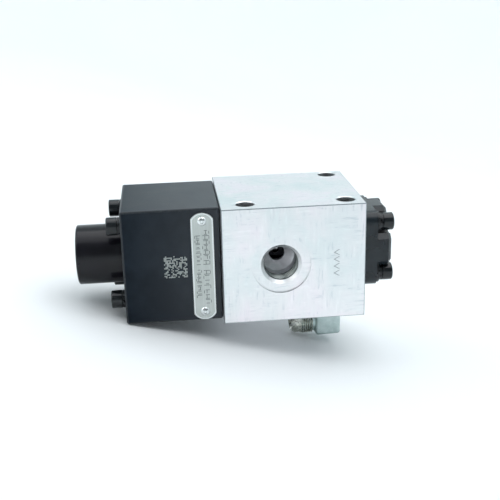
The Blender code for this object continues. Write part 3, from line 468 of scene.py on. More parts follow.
def shell_black():
    """Glossy black shell with faint turning lines."""
    look = Finish("shell_black", (0.006, 0.006, 0.009), 0.20, 0.0, Specular_IOR_Level=0.32)
    lines = look.waves(420, "X")
    smears = look.noise(90, (0.5, 1, 1), 3.0)
    look.colour(look.tint(smears, ((0.35, (0.004, 0.004, 0.006)), (0.7, (0.010, 0.009, 0.014)))))
    look.rough(look.spread(smears, 0.15, 0.26))
    return look.bump(lines, 0.03, 0.02 * MM).mat


def cover_black():
    """Cast end cover with a black coat: slight orange peel."""
    look = Finish("cover_black", (0.006, 0.011, 0.015), 0.28, 0.0, Specular_IOR_Level=0.42)
    peel = look.noise(1400, (1, 1, 1), 3.0)
    clouds = look.noise(90, (1, 1, 1), 3.0)
    look.colour(look.tint(clouds, ((0.35, (0.005, 0.010, 0.014)), (0.7, (0.012, 0.018, 0.023)))))
    look.rough(look.spread(clouds, 0.15, 0.25))
    return look.bump(peel, 0.06, 0.04 * MM).mat


def plate_metal():
    """Brushed nameplate, streaked along its length."""
    look = Finish("plate_metal", (0.56, 0.60, 0.58), 0.36, 1.0)
    streaks = look.noise(1600, (1.0, 1.0, 0.02), 3.0, 0.6)
    clouds = look.noise(140, (1, 1, 0.5), 3.0)
    look.colour(look.tint(look.mix(streaks, clouds, 0.45), (
        (0.32, (0.43, 0.46, 0.44)), (0.7, (0.60, 0.63, 0.61)))))
    look.rough(look.spread(streaks, 0.28, 0.46))
    return look.bump(streaks, 0.16, 0.02 * MM).mat


def plated_fitting():
    """Zinc-nickel plated fitting: pale grey-green with soft clouding."""
    look = Finish("plated_fitting", (0.50, 0.54, 0.53), 0.36, 1.0)
    clouds = look.noise(160, (1, 1, 1), 4.0, 0.6)
    grain = look.noise(3000, (1, 1, 1), 2.0)
    look.colour(look.tint(clouds, ((0.3, (0.33, 0.42, 0.41)), (0.7, (0.56, 0.65, 0.64)))))
    look.rough(look.spread(clouds, 0.28, 0.46))
    return look.bump(grain, 0.1, 0.03 * MM).mat


def plain_metal(name, colour, roughness, grain=900.0):
    """Ground or drawn metal for the inner pieces."""
    look = Finish(name, colour, roughness, 1.0)
    lines = look.noise(grain, (1.0, 0.08, 0.08), 3.0, 0.6)
    look.rough(look.spread(lines, roughness * 0.75, roughness * 1.3))
    return look.bump(lines, 0.12, 0.02 * MM).mat


def plain_plastic(name, colour, roughness):
    """Moulded plastic or rubber for the inner pieces."""
    look = Finish(name, colour, roughness, 0.0)
    grain = look.noise(3500, (1, 1, 1), 2.0)
    clouds = look.noise(200, (1, 1, 1), 3.0)
    look.colour(look.tint(clouds, ((0.3, tuple(0.8 * c for c in colour)), (0.7, tuple(1.25 * c for c in colour)))))
    look.rough(look.spread(clouds, roughness * 0.85, min(roughness * 1.15, 1.0)))
    return look.bump(grain, 0.12, 0.03 * MM).mat


def winding_copper():
    """Enamelled wire laid in close turns."""
    look = Finish("winding_copper", (0.62, 0.26, 0.11), 0.3, 1.0)
    turns = look.waves(330, "X", 0.2)
    # the dark bands between the turns are painted shade in the creases between the wires
    look.colour(look.tint(turns, ((0.0, (0.30, 0.10, 0.04)), (0.6, (0.72, 0.32, 0.14)))))
    return look.bump(turns, 0.8, 0.2 * MM).mat


ALUMINIUM, BORED = machined_aluminium(), bored_aluminium()
HOUSING_BLACK, SHELL, COVER = black_housing(), shell_black(), cover_black()
PLATE, FITTING = plate_metal(), plated_fitting()
# the block's chamfers, painted darker than its faces: a painted dark line of shade along every edge
ALUMINIUM_EDGE_SHADE = speckled("aluminium_edge_shade", (0.30, 0.33, 0.35), 0.3, 1.0, 1800, span=(0.22, 0.40),
                          relief=(0.2, 0.02 * MM))
# painted shade for holes, passages and thread roots: near-black metal standing in for the shade inside them
RECESS_SHADE = speckled("recess_shade_metal", (0.03, 0.031, 0.033), 0.55, 0.6, 1200,
                 tones=((0.3, (0.012, 0.013, 0.014)), (0.75, (0.05, 0.05, 0.053))), span=(0.45, 0.65))
# the housing's rounded edges, a little lighter than its faces
HOUSING_EDGE = speckled("black_edge", (0.012, 0.017, 0.024), 0.38, 0.0, 900, 4.0, 0.7,
                        tones=((0.45, (0.008, 0.012, 0.018)), (0.75, (0.03, 0.036, 0.042))), span=(0.32, 0.46),
                        Specular_IOR_Level=0.4)
# black oxide on the screws, oiled
SCREW = speckled("screw_black", (0.008, 0.011, 0.013), 0.17, 0.1, 260, 2.0,
                 tones=((0.35, (0.005, 0.008, 0.010)), (0.7, (0.012, 0.015, 0.017))), span=(0.09, 0.17),
                 Specular_IOR_Level=0.52)
# washers, a little duller and greyer than the screws
WASHER = speckled("washer_black", (0.012, 0.014, 0.017), 0.28, 0.2, 400,
                  tones=((0.35, (0.008, 0.010, 0.012)), (0.72, (0.022, 0.025, 0.028))), span=(0.22, 0.36))
# the plate's polished border and its rivets
RIM = speckled("plate_rim", (0.80, 0.83, 0.83), 0.2, 1.0, 1500, span=(0.14, 0.30), relief=(0.08, 0.02 * MM))
# fillings of the marks: dark on the plate, faint grey in the block's chevron grooves, pale on the housing
INK = speckled("mark_ink", (0.10, 0.11, 0.11), 0.55, 0.0, 2500,
               tones=((0.3, (0.07, 0.08, 0.08)), (0.75, (0.20, 0.22, 0.22))))
CHEVRON_GREY = speckled("chevron_grey", (0.42, 0.45, 0.47), 0.5, 0.6, 2500,
                    tones=((0.3, (0.30, 0.33, 0.35)), (0.75, (0.50, 0.53, 0.55))))
PALE = speckled("pale_mark", (0.36, 0.39, 0.38), 0.6, 0.0, 2500,
                tones=((0.3, (0.24, 0.27, 0.26)), (0.75, (0.46, 0.49, 0.47))))
# the fitting's turned outlet, more olive than its body
THREAD = speckled("fitting_thread", (0.48, 0.49, 0.43), 0.25, 1.0, 500,
                  tones=((0.35, (0.40, 0.41, 0.35)), (0.7, (0.66, 0.67, 0.62))), span=(0.2, 0.32))
INNER = {
    # the sleeve's steel is painted near-black: painted shade for the sleeve as it is seen deep inside the ports
    "sleeve_steel": plain_metal("sleeve_steel", (0.035, 0.035, 0.04), 0.55),
    "bright_steel": plain_metal("bright_steel", (0.68, 0.69, 0.70), 0.18),
    "spring_steel": plain_metal("spring_steel", (0.50, 0.51, 0.53), 0.28, 2000),
    "magnet_iron": plain_metal("magnet_iron", (0.56, 0.55, 0.50), 0.34),
    "contact_brass": plain_metal("contact_brass", (0.80, 0.62, 0.30), 0.24),
    "insert_plastic": plain_plastic("insert_plastic", (0.05, 0.05, 0.055), 0.5),
    "seal_rubber": plain_plastic("seal_rubber", (0.018, 0.018, 0.019), 0.62),
    "copper": winding_copper(),
}


# ---- valve block ----

def port_tool(matrix):
    """Spotface, chamfered mouth, bore and drill tip, as one cutter."""
    mouth = PORT_MOUTH_R - PORT_BORE_R
    tip = PORT_DEPTH + PORT_TIP * PORT_BORE_R / (PORT_BORE_R - GALLERY_R)
    outline = [
        (0, -PAST), (SPOTFACE_R, -PAST), (SPOTFACE_R, SPOTFACE_DEPTH), (PORT_MOUTH_R, SPOTFACE_DEPTH),
        (PORT_BORE_R, SPOTFACE_DEPTH + mouth), (PORT_BORE_R, PORT_DEPTH), (0, tip),
    ]
    return turned("port_tool", outline, matrix, SMOOTH)


def port_thread(name, matrix):
    """The thread ridge in a port's bore."""
    lead = SPOTFACE_DEPTH + PORT_MOUTH_R - PORT_BORE_R + 0.8 * MM
    facing = matrix @ Matrix.Translation((0, 0, lead))
    ridge = helix(name, PORT_BORE_R + 0.04 * MM, PORT_BORE_R - PORT_RIDGE, PORT_PITCH, PORT_TURNS, facing, ROUND)
    place(shade(wear(ridge, BORED)), "root", "machined_aluminium")


def gallery_tool(matrix):
    """The passage from the port's tip to the main bore."""
    return rod(GALLERY_R, PORT_DEPTH, BLOCK_HIGH.y - MAIN_BORE_R * 0.8, matrix, ROUND)


def mount_tool(x, y):
    """A blind top hole with a small countersink and a drill tip."""
    sink = 0.5 * MM
    outline = [
        (0, 1 * MM), (MOUNT_R + sink, 1 * MM), (MOUNT_R + sink, 0), (MOUNT_R, -sink),
        (MOUNT_R, -MOUNT_DEPTH + 3 * MM), (0, -MOUNT_DEPTH),
    ]
    return turned("mount_tool", outline, upright(x, y, BLOCK_HIGH.z), ROUND)


def screw_places(prefix):
    """The four screws of a set: their centres across the axis."""
    return [middle(f"{prefix}_{i}") for i in range(1, 5)]


def chevron_outline(length, width, line):
    """A plain chevron of one line width that points along -X."""
    shift = line * math.hypot(1.0, 2 * length / width)
    half = width / 2
    return [(0, 0), (length, half), (length + shift, half), (shift, 0), (length + shift, -half), (length, -half)]


def make_block():
    """The machined block with its ports, holes and engraved chevrons."""
    size = BLOCK_HIGH - BLOCK_LOW
    centre = (BLOCK_HIGH + BLOCK_LOW) / 2
    block = box("valve_block", size, Matrix.Translation(centre))
    wear(block, ALUMINIUM, ALUMINIUM_EDGE_SHADE)
    # the chamfers take slot 1, painted darker as shade along the block's edges
    bevel(block, 0.45 * MM, 2, slot=1)
    half = size.x / 2 + PAST
    inlet = into_front(INLET_X, BLOCK_LOW.y, AXIS_Z)
    outlet = into_rear(OUTLET_X, BLOCK_HIGH.y, AXIS_Z)
    ports = [port_tool(inlet), port_tool(outlet)]
    tools = [
        rod(MAIN_BORE_R, -half, half, along_x(), SMOOTH),
        gallery_tool(inlet),
        gallery_tool(outlet),
        rod(6.8 * MM, -PAST, 13 * MM, upright(DRAIN_X, 0, BLOCK_LOW.z)),
        rod(3.5 * MM, 0, 30 * MM, upright(DRAIN_X, 0, BLOCK_LOW.z)),
    ]
    tools += [mount_tool(x, y) for x, y in MOUNT_HOLES]
    for node in [f"{prefix}_{i}" for prefix in ("housing_screw", "cover_screw") for i in range(1, 5)]:
        spot = middle(node)
        start = max(BLOCK_LOW.x - PAST, low(node).x - SCREW_ROOM)
        end = min(BLOCK_HIGH.x + PAST, high(node).x + SCREW_ROOM)
        tools.append(rod(HOLE_R, start, end, along_x(0, spot.y, spot.z), 32))
    # the faces these cutters leave inside the block are painted near-black as shade in the holes and passages
    for tool in tools:
        wear(tool, RECESS_SHADE)
    for tool in ports:
        wear(tool, BORED)
    tools = ports + tools
    facing = Matrix.Rotation(math.pi / 2, 4, "X")
    fillings = []
    for step in (1.5, 0.5, -0.5, -1.5):
        z = CHEVRON_Z + step * CHEVRON_STEP
        engraving = Matrix.Translation((CHEVRON_X, BLOCK_LOW.y, z)) @ facing
        tools.append(prism("groove", chevron_outline(*CHEVRON), ENGRAVED, engraving))
        filling = engraving @ Matrix.Translation((0, 0, -FILLING_BACK))
        fillings.append(wear(prism("filling", chevron_outline(*CHEVRON), FILLING, filling), CHEVRON_GREY))
    boolean(block, tools)
    bake(block, 30.0, tools)
    place(block, "root", "machined_aluminium", "valve_body")
    place(joined("flow_chevrons", fillings), "root", "machined_aluminium")
    port_thread("inlet_thread", inlet)
    port_thread("outlet_thread", outlet)
    for i, (x, y) in enumerate(MOUNT_HOLES, start=1):
        top = upright(x, y, BLOCK_HIGH.z - 1.6 * MM) @ Matrix.Rotation(math.pi, 4, "X")
        ridge = helix(f"mount_thread_{i}", MOUNT_R + 0.03 * MM, MOUNT_R - 0.75 * MM, 1.5 * MM, 9, top)
        # the threads in the mount holes are painted near-black as shade inside the holes
        place(shade(wear(ridge, RECESS_SHADE)), "root", "machined_aluminium")


# ---- screws and washers ----

def screw(name, length, matrix):
    """A socket head cap screw: head towards local -Z, rounded rim, hexagon socket."""
    top = -HEAD_HEIGHT
    rim = 0.75 * MM
    outline = [(0, length), (SHANK_R - 0.6 * MM, length), (SHANK_R, length - 0.6 * MM), (SHANK_R, 0)]
    outline += [(HEAD_R - 0.15 * MM, 0), (HEAD_R, -0.15 * MM)]
    outline += arc((HEAD_R - rim, top + rim), rim, 0, -90, 5) + [(0, top)]
    body = turned(name, outline, Matrix.Identity(4))
    socket = turned("socket", [(0, top - 1 * MM), (HEX_R, top - 1 * MM), (HEX_R, top + HEX_DEPTH),
                               (0, top + HEX_DEPTH + 0.8 * MM)], Matrix.Identity(4), 6)
    lead = turned("lead", [(0, top - 1 * MM), (HEX_R + 1.1 * MM, top - 1 * MM), (HEX_R - 0.3 * MM, top + 0.4 * MM),
                           (0, top + 0.4 * MM)], Matrix.Identity(4), 48)
    boolean(body, [socket, lead])
    bake(body, 32.0, [socket, lead])
    body.data.transform(matrix)
    return wear(body, SCREW)


def make_fasteners():
    """Both sets of screws with their washers, each standing for its own CAD node."""
    for i in range(1, 5):
        node = f"housing_screw_{i}"
        spot, seat = middle(node), low(node).x + HEAD_HEIGHT
        turn = random.uniform(0, 1)
        made = screw(f"housing_cap_screw_{i}", high(node).x - seat, along_x(seat, spot.y, spot.z, turn))
        place(made, "root", "black_screw_steel", node)
        node = f"cover_screw_{i}"
        spot, seat = middle(node), high(node).x - HEAD_HEIGHT
        facing = along_x(seat, spot.y, spot.z) @ Matrix.Rotation(math.pi, 4, "X")
        facing = facing @ Matrix.Rotation(random.uniform(0, 1), 4, "Z")
        made = screw(f"cover_cap_screw_{i}", seat - low(node).x, facing)
        place(made, "root", "black_screw_steel", node)
        for prefix, first_turn in (("housing_lock_washer", 1.9), ("cover_lock_washer", 3.6)):
            node = f"{prefix}_{i}"
            spot = middle(node)
            thickness = high(node).x - low(node).x
            facing = along_x(low(node).x, spot.y, spot.z, first_turn + 0.9 * i)
            ring = split_ring(f"{prefix}_ring_{i}", HOLE_R, LOCK_R, thickness, facing)
            bevel(ring, 0.12 * MM, 1)
            place(wear(bake(ring), WASHER), "root", "washer_steel", node)
        node = f"cover_flat_washer_{i}"
        spot, edge = middle(node), 0.2 * MM
        start, end = 0.0, high(node).x - low(node).x
        outline = [
            (HOLE_R, start), (FLAT_R - edge, start), (FLAT_R, start + edge), (FLAT_R, end - edge),
            (FLAT_R - edge, end), (HOLE_R + edge, end), (HOLE_R, end - edge),
        ]
        flat = turned(f"cover_flat_ring_{i}", outline, along_x(low(node).x, spot.y, spot.z), ROUND, closed=True)
        place(shade(wear(flat, WASHER)), "root", "washer_steel", node)


# ---- solenoid housing, connector, nameplate and marks ----

def make_housing():
    """The square housing with rounded edges a little lighter than its faces, and its real hollows."""
    size = HOUSING_HIGH - HOUSING_LOW
    centre = (HOUSING_HIGH + HOUSING_LOW) / 2
    housing = box("solenoid_case", size, Matrix.Translation(centre))
    wear(housing, HOUSING_BLACK, HOUSING_EDGE)
    bevel(housing, 1.1 * MM, 4, slot=1)
    cavity_end = low("coil_bobbin").x - GAP
    tools = [
        rod(22.0 * MM, cavity_end, HOUSING_HIGH.x + PAST, along_x(), SMOOTH),
        rod(9.4 * MM, low("guide_tube").x - GAP, cavity_end + PAST, along_x(), ROUND),
        rod(15.3 * MM, HOUSING_LOW.x - PAST, high("connector_shell").x + GAP, along_x(), SMOOTH),
    ]
    for spot in screw_places("housing_screw"):
        tools.append(rod(HOLE_R, HOUSING_LOW.x - PAST, HOUSING_HIGH.x + PAST, along_x(0, spot.y, spot.z), 32))
    for node in ("nameplate_rivet_1", "nameplate_rivet_2"):
        spot = middle(node)
        tools.append(rod(RIVET_HOLE_R, -PAST, 4.6 * MM, into_front(spot.x, HOUSING_LOW.y, spot.z), 24))
    for tool in tools:
        wear(tool, HOUSING_BLACK)
    boolean(housing, tools)
    bake(housing, 30.0, tools)
    place(housing, "root", "black_anodised", "solenoid_housing")


def make_shell():
    """The round connector shell: rounded rim, open socket with a lead-in, key ribs and a rear collar."""
    box_low, box_high = low("connector_shell"), high("connector_shell")
    radius = (box_high.z - box_low.z) / 2
    face, end = HOUSING_LOW.x - FACE_GAP, box_low.x
    shoulder, socket, rear = end + 19.8 * MM, SOCKET_R, 12.2 * MM
    spigot, seal = 15.0 * MM, middle("connector_seal").x
    groove, half = 13.1 * MM, SEAL_GROOVE
    outline = [
        (spigot, box_high.x), (spigot, seal + half), (groove, seal + half), (groove, seal - half),
        (spigot, seal - half), (spigot, face), (radius - 0.5 * MM, face), (radius, face - 0.5 * MM),
    ]
    outline += arc((radius - 1.1 * MM, end + 1.1 * MM), 1.1 * MM, 0, -90, 6)
    outline += arc((socket + 0.6 * MM, end + 0.6 * MM), 0.6 * MM, -90, -180, 4)
    outline += [(socket, shoulder), (rear, shoulder), (rear, box_high.x)]
    shell = turned("connector_can", outline, along_x(), 128, closed=True)
    place(shade(wear(shell, SHELL)), "root", "shell_plastic", "connector_shell")
    rib_start, rib_end = end + 2.5 * MM, high("contact_insert").x - 7.2 * MM
    for i, degrees in enumerate((90, 200, 245, 310), start=1):
        width = (2.4 if i == 1 else 1.5) * MM
        spin = along_x() @ Matrix.Rotation(math.radians(degrees), 4, "Z")
        spin = spin @ Matrix.Translation((socket - 0.35 * MM, 0, (rib_start + rib_end) / 2))
        rib = box(f"socket_rib_{i}", (0.9 * MM, width, rib_end - rib_start), spin)
        bevel(rib, 0.2 * MM, 2)
        place(wear(bake(rib), SHELL), "root", "shell_plastic")


def make_contacts():
    """The insert with its key post and bores, and three round-nosed contacts."""
    box_low, box_high = low("contact_insert"), high("contact_insert")
    radius, edge, key = (box_high.z - box_low.z) / 2, 0.35 * MM, 2.6 * MM
    face = box_high.x - 7.0 * MM
    outline = [(0, box_high.x), (radius - edge, box_high.x), (radius, box_high.x - edge), (radius, face + edge)]
    outline += [(radius - edge, face), (radius - 1.6 * MM, face), (radius - 1.9 * MM, face + 0.4 * MM)]
    outline += [(key + 0.9 * MM, face + 0.4 * MM), (key + 0.3 * MM, face + 0.2 * MM), (key, face)]
    outline += arc((key - 0.6 * MM, box_low.x + 0.6 * MM), 0.6 * MM, 0, -90, 4) + [(0, box_low.x)]
    insert = turned("socket_insert", outline, along_x(), SMOOTH)
    names = [f"contact_pin_{i}" for i in range(1, 4)]
    tools = []
    for name in names:
        spot = middle(name)
        here = along_x(0, spot.y, spot.z)
        tools.append(turned("pin_bore", [
            (0, face - 1 * MM), (2.0 * MM, face - 1 * MM), (2.0 * MM, face + 0.55 * MM), (1.4 * MM, face + 1.1 * MM),
            (1.4 * MM, box_high.x + 1 * MM), (0, box_high.x + 1 * MM)], here, 40))
    boolean(insert, tools)
    bake(insert, 30.0, tools)
    place(wear(insert, INNER["insert_plastic"]), "root", "insert_plastic", "contact_insert")
    for i, name in enumerate(names, start=1):
        spot, start, end = middle(name), low(name).x, high(name).x
        radius = (high(name).z - low(name).z) / 2
        outline = [(0, end), (radius - 0.3 * MM, end), (radius, end - 0.3 * MM), (radius, start + radius)]
        outline += arc((0.0, start + radius), radius, 0, -90, 8)[1:]
        pin = turned(f"socket_contact_{i}", outline, along_x(0, spot.y, spot.z), 40)
        place(shade(wear(pin, INNER["contact_brass"])), "root", "contact_brass", name)


def make_spring():
    """The return spring, closed at both ends."""
    box_low, box_high = low("return_spring"), high("return_spring")
    wire, steps, sides, turns = 0.6 * MM, 40, 14, 6
    radius = (box_high.z - box_low.z) / 2 - wire
    first, last = box_low.x + wire, box_high.x - wire
    total, lift = turns * steps, 2.4 * wire
    rings = []
    for i in range(total + 1):
        turn = 2 * math.pi * i / steps
        share = min(max((i - steps) / (total - 2 * steps), 0.0), 1.0)
        closing = (min(i, steps) + max(i - (total - steps), 0)) / steps * lift
        out = Vector((0, math.cos(turn), math.sin(turn)))
        centre = Vector((first + closing + share * (last - first - 2 * lift), 0, AXIS_Z)) + out * radius
        ring = []
        for j in range(sides):
            spin = 2 * math.pi * j / sides
            ring.append(centre + wire * (math.cos(spin) * out + math.sin(spin) * Vector((1, 0, 0))))
        rings.append(ring)
    coil = swept("spring_coil", rings)
    place(shade(wear(coil, INNER["spring_steel"])), "root", "spring_steel", "return_spring")
    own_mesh(coil)


def plate_outline(node, inset=0.0):
    """The nameplate's outline: straight sides and shallow arched ends."""
    size = high(node) - low(node)
    half_width, half_height = size.x / 2 - inset, size.z / 2 - inset
    rise = 3.5 * MM
    radius = (half_width ** 2 + rise ** 2) / (2 * rise)
    spread = math.degrees(math.asin(half_width / radius))
    top = arc((0.0, half_height - radius), radius, 90 - spread, 90 + spread, 28)
    return top + [(-x, -y) for x, y in top]


def strip(name, x, z, width, height, front, thickness, material):
    """A thin raised strip on a front-facing surface."""
    centre = Matrix.Translation((x, front - thickness / 2, z))
    return wear(box(name, (width, thickness, height), centre), material)


def glyph(x, z, width, reach, line, face, height):
    """A meaningless engraved mark: an open frame with one or two strokes in it."""
    half, rise = width / 2, reach / 2
    strokes = [(x, z + rise, width * random.uniform(0.45, 1.0), line)]
    if random.random() < 0.75:
        strokes.append((x, z - rise, width * random.uniform(0.45, 1.0), line))
    if random.random() < 0.7:
        strokes.append((x + half * random.choice((-1, 1)), z, line, reach * 0.8))
    if random.random() < 0.6:
        strokes.append((x + half * random.uniform(-0.4, 0.4), z, line, reach * 0.8))
    return [strip("mark", u, v, wide, tall, face, height, INK) for u, v, wide, tall in strokes]


def joined(name, pieces):
    """Join loose pieces into one object."""
    shape = bmesh.new()
    for piece in pieces:
        shape.from_mesh(piece.data)
    material = pieces[0].data.materials[0]
    for piece in pieces:
        bpy.data.objects.remove(piece, do_unlink=True)
    made = link(to_mesh(shape, name), name)
    return wear(made, material)


def make_nameplate():
    """Plate with a raised polished rim, two domed rivets and generic marks in place of lettering."""
    spot = middle("nameplate")
    front = low("nameplate").y
    back = high("nameplate").y
    facing = Matrix.Translation((spot.x, (front + back) / 2, spot.z)) @ Matrix.Rotation(math.pi / 2, 4, "X")
    plate = prism("rating_plate", plate_outline("nameplate"), back - front, facing)
    wear(plate, PLATE, RIM)
    bevel(plate, 0.14 * MM, 2, slot=1)
    tools = [rod(RIVET_HOLE_R, -2 * MM, 2 * MM, into_front(spot.x, front, middle(node).z), 32)
             for node in ("nameplate_rivet_1", "nameplate_rivet_2")]
    boolean(plate, tools)
    bake(plate, 28.0, tools)
    place(plate, "root", "plate_aluminium", "nameplate")

    outer, inner = plate_outline("nameplate", 0.35 * MM), plate_outline("nameplate", 0.75 * MM)
    shape = bmesh.new()
    base_rows, top_rows = [
        [[shape.verts.new((x, y, level)) for x, y in ring] for ring in (outer, inner)] for level in (0.0, 0.07 * MM)]
    count = len(outer)
    for i in range(count):
        k = (i + 1) % count
        shape.faces.new((top_rows[0][i], top_rows[0][k], top_rows[1][k], top_rows[1][i]))
        shape.faces.new((base_rows[0][i], base_rows[1][i], base_rows[1][k], base_rows[0][k]))
        shape.faces.new((base_rows[0][i], base_rows[0][k], top_rows[0][k], top_rows[0][i]))
        shape.faces.new((base_rows[1][k], base_rows[1][i], top_rows[1][i], top_rows[1][k]))
    lift = Matrix.Translation((spot.x, front, spot.z)) @ Matrix.Rotation(math.pi / 2, 4, "X")
    rim = link(to_mesh(shape, "plate_border"), "plate_border", lift)
    place(shade(wear(rim, RIM)), "root", "plate_aluminium")

    for i, node in enumerate(("nameplate_rivet_1", "nameplate_rivet_2"), start=1):
        centre = middle(node)
        radius = 2.6 * MM
        base = low(node).y + 1.3 * MM
        dome = 1.3 * MM
        sphere = (radius ** 2 + dome ** 2) / (2 * dome)
        mouth, stem = 1.05 * MM, 0.8 * MM
        start = math.degrees(math.acos(mouth / sphere))
        finish = 90 - math.degrees(math.asin(radius / sphere))
        outline = [(0, 0.95 * MM), (stem - 0.15 * MM, 0.95 * MM), (stem, 0.8 * MM), (stem, 0.3 * MM)]
        outline += [(mouth, 0.3 * MM)] + arc((0.0, dome - sphere), sphere, start, finish, 10)
        outline += [(radius, -0.12 * MM), (1.2 * MM, -0.12 * MM), (1.2 * MM, -4.4 * MM), (0, -4.4 * MM)]
        rivet = turned(f"plate_rivet_{i}", outline, into_rear(centre.x, base, centre.z), 48)
        place(shade(wear(rivet, RIM)), "root", "rivet_steel", node)

    marks = []
    face, height, line = front + 0.02 * MM, 0.05 * MM, 0.34 * MM
    for column, width, reach, start in ((1.75 * MM, 3.6 * MM, 2.1 * MM, 19.8 * MM),
                                        (-2.6 * MM, 2.9 * MM, 1.7 * MM, 17.2 * MM)):
        z = start
        while z > -start - 1.6 * MM:
            if abs(z) > 1.8 * MM:
                marks += glyph(spot.x + column, spot.z + z, width, reach, line, face, height)
            z -= reach + 0.75 * MM
    place(joined("plate_marks", marks), "root", "plate_aluminium")


def make_code_patch():
    """A square of random dots, which stands for no code and has no corner marks."""
    cells, size = 17, 12.6 * MM
    centre_x, centre_z = -64.2 * MM, AXIS_Z
    cell = size / cells
    dots = []
    for row in range(cells):
        for column in range(cells):
            if random.random() < 0.48:
                x = centre_x + (column - cells / 2 + 0.5) * cell
                z = centre_z + (row - cells / 2 + 0.5) * cell
                dots.append(strip("dot", x, z, cell * 0.96, cell * 0.96, HOUSING_LOW.y, 0.03 * MM, PALE))
    place(joined("marking_dots", dots), "root", "black_anodised")


# ---- end cover ----

def make_cover():
    """Cast cover: rounded square plate, raised eight-sided middle, counterbores and a hollow spigot."""
    box_low, box_high = low("end_cover"), high("end_cover")
    left = BLOCK_HIGH.x + FACE_GAP
    size, corner, plate, flat = box_high.y - box_low.y, 7.0 * MM, 10.1 * MM, 13.1 * MM
    half, part = size / 2, flat / 2
    outline = []
    for i, (u, v) in enumerate(((1, 1), (-1, 1), (-1, -1), (1, -1))):
        outline += arc((u * (half - corner), v * (half - corner)), corner, 90 * i, 90 * i + 90, 12)
    cover = prism("cover_casting", outline, plate, along_x(left + plate / 2))
    octagon = [
        (half, -part), (half, part), (part, half), (-part, half),
        (-half, part), (-half, -part), (-part, -half), (part, -half),
    ]
    below = 2.0 * MM
    height = box_high.x - left
    rise = height - plate + below
    raised = prism("raised", octagon, rise, Matrix.Identity(4))
    shape = bmesh.new()
    shape.from_mesh(raised.data)
    rim = [edge for edge in shape.edges
           if all(vert.co.z > rise / 2 - 1e-6 for vert in edge.verts) and len(edge.link_faces) == 2]
    bmesh.ops.bevel(shape, geom=rim, offset=1.8 * MM, segments=1, affect="EDGES")
    shape.to_mesh(raised.data)
    shape.free()
    raised.data.transform(along_x(left + height - rise / 2))
    end = box_high.x + PAST
    seats = [rod(7.0 * MM, left + plate - below - PAST, end, along_x(0, spot.y, spot.z), ROUND)
             for spot in screw_places("cover_screw")]
    boolean(raised, seats)
    spigot = rod(12.7 * MM, box_low.x, left + below, along_x(), SMOOTH)
    boolean(cover, [raised, spigot], "UNION")
    tools = [rod(9.0 * MM, box_low.x - PAST, left + 12.8 * MM, along_x(), SMOOTH)]
    tools += [rod(HOLE_R, left - PAST, end, along_x(0, spot.y, spot.z), 32)
              for spot in screw_places("cover_screw")]
    seal = middle("cover_seal").x
    groove, floor, wall = left - PAST, seal + SEAL_GROOVE, (14.3 * MM, 16.5 * MM)
    ring = [(wall[0], groove), (wall[1], groove), (wall[1], floor), (wall[0], floor)]
    tools.append(turned("seal_groove", ring, along_x(), SMOOTH, closed=True))
    boolean(cover, tools)
    bevel(cover, 0.35 * MM, 2, 28.0)
    bake(cover, 40.0, tools + seats + [raised, spigot])
    place(wear(cover, COVER), "root", "black_cast", "end_cover")


# ---- elbow fitting ----

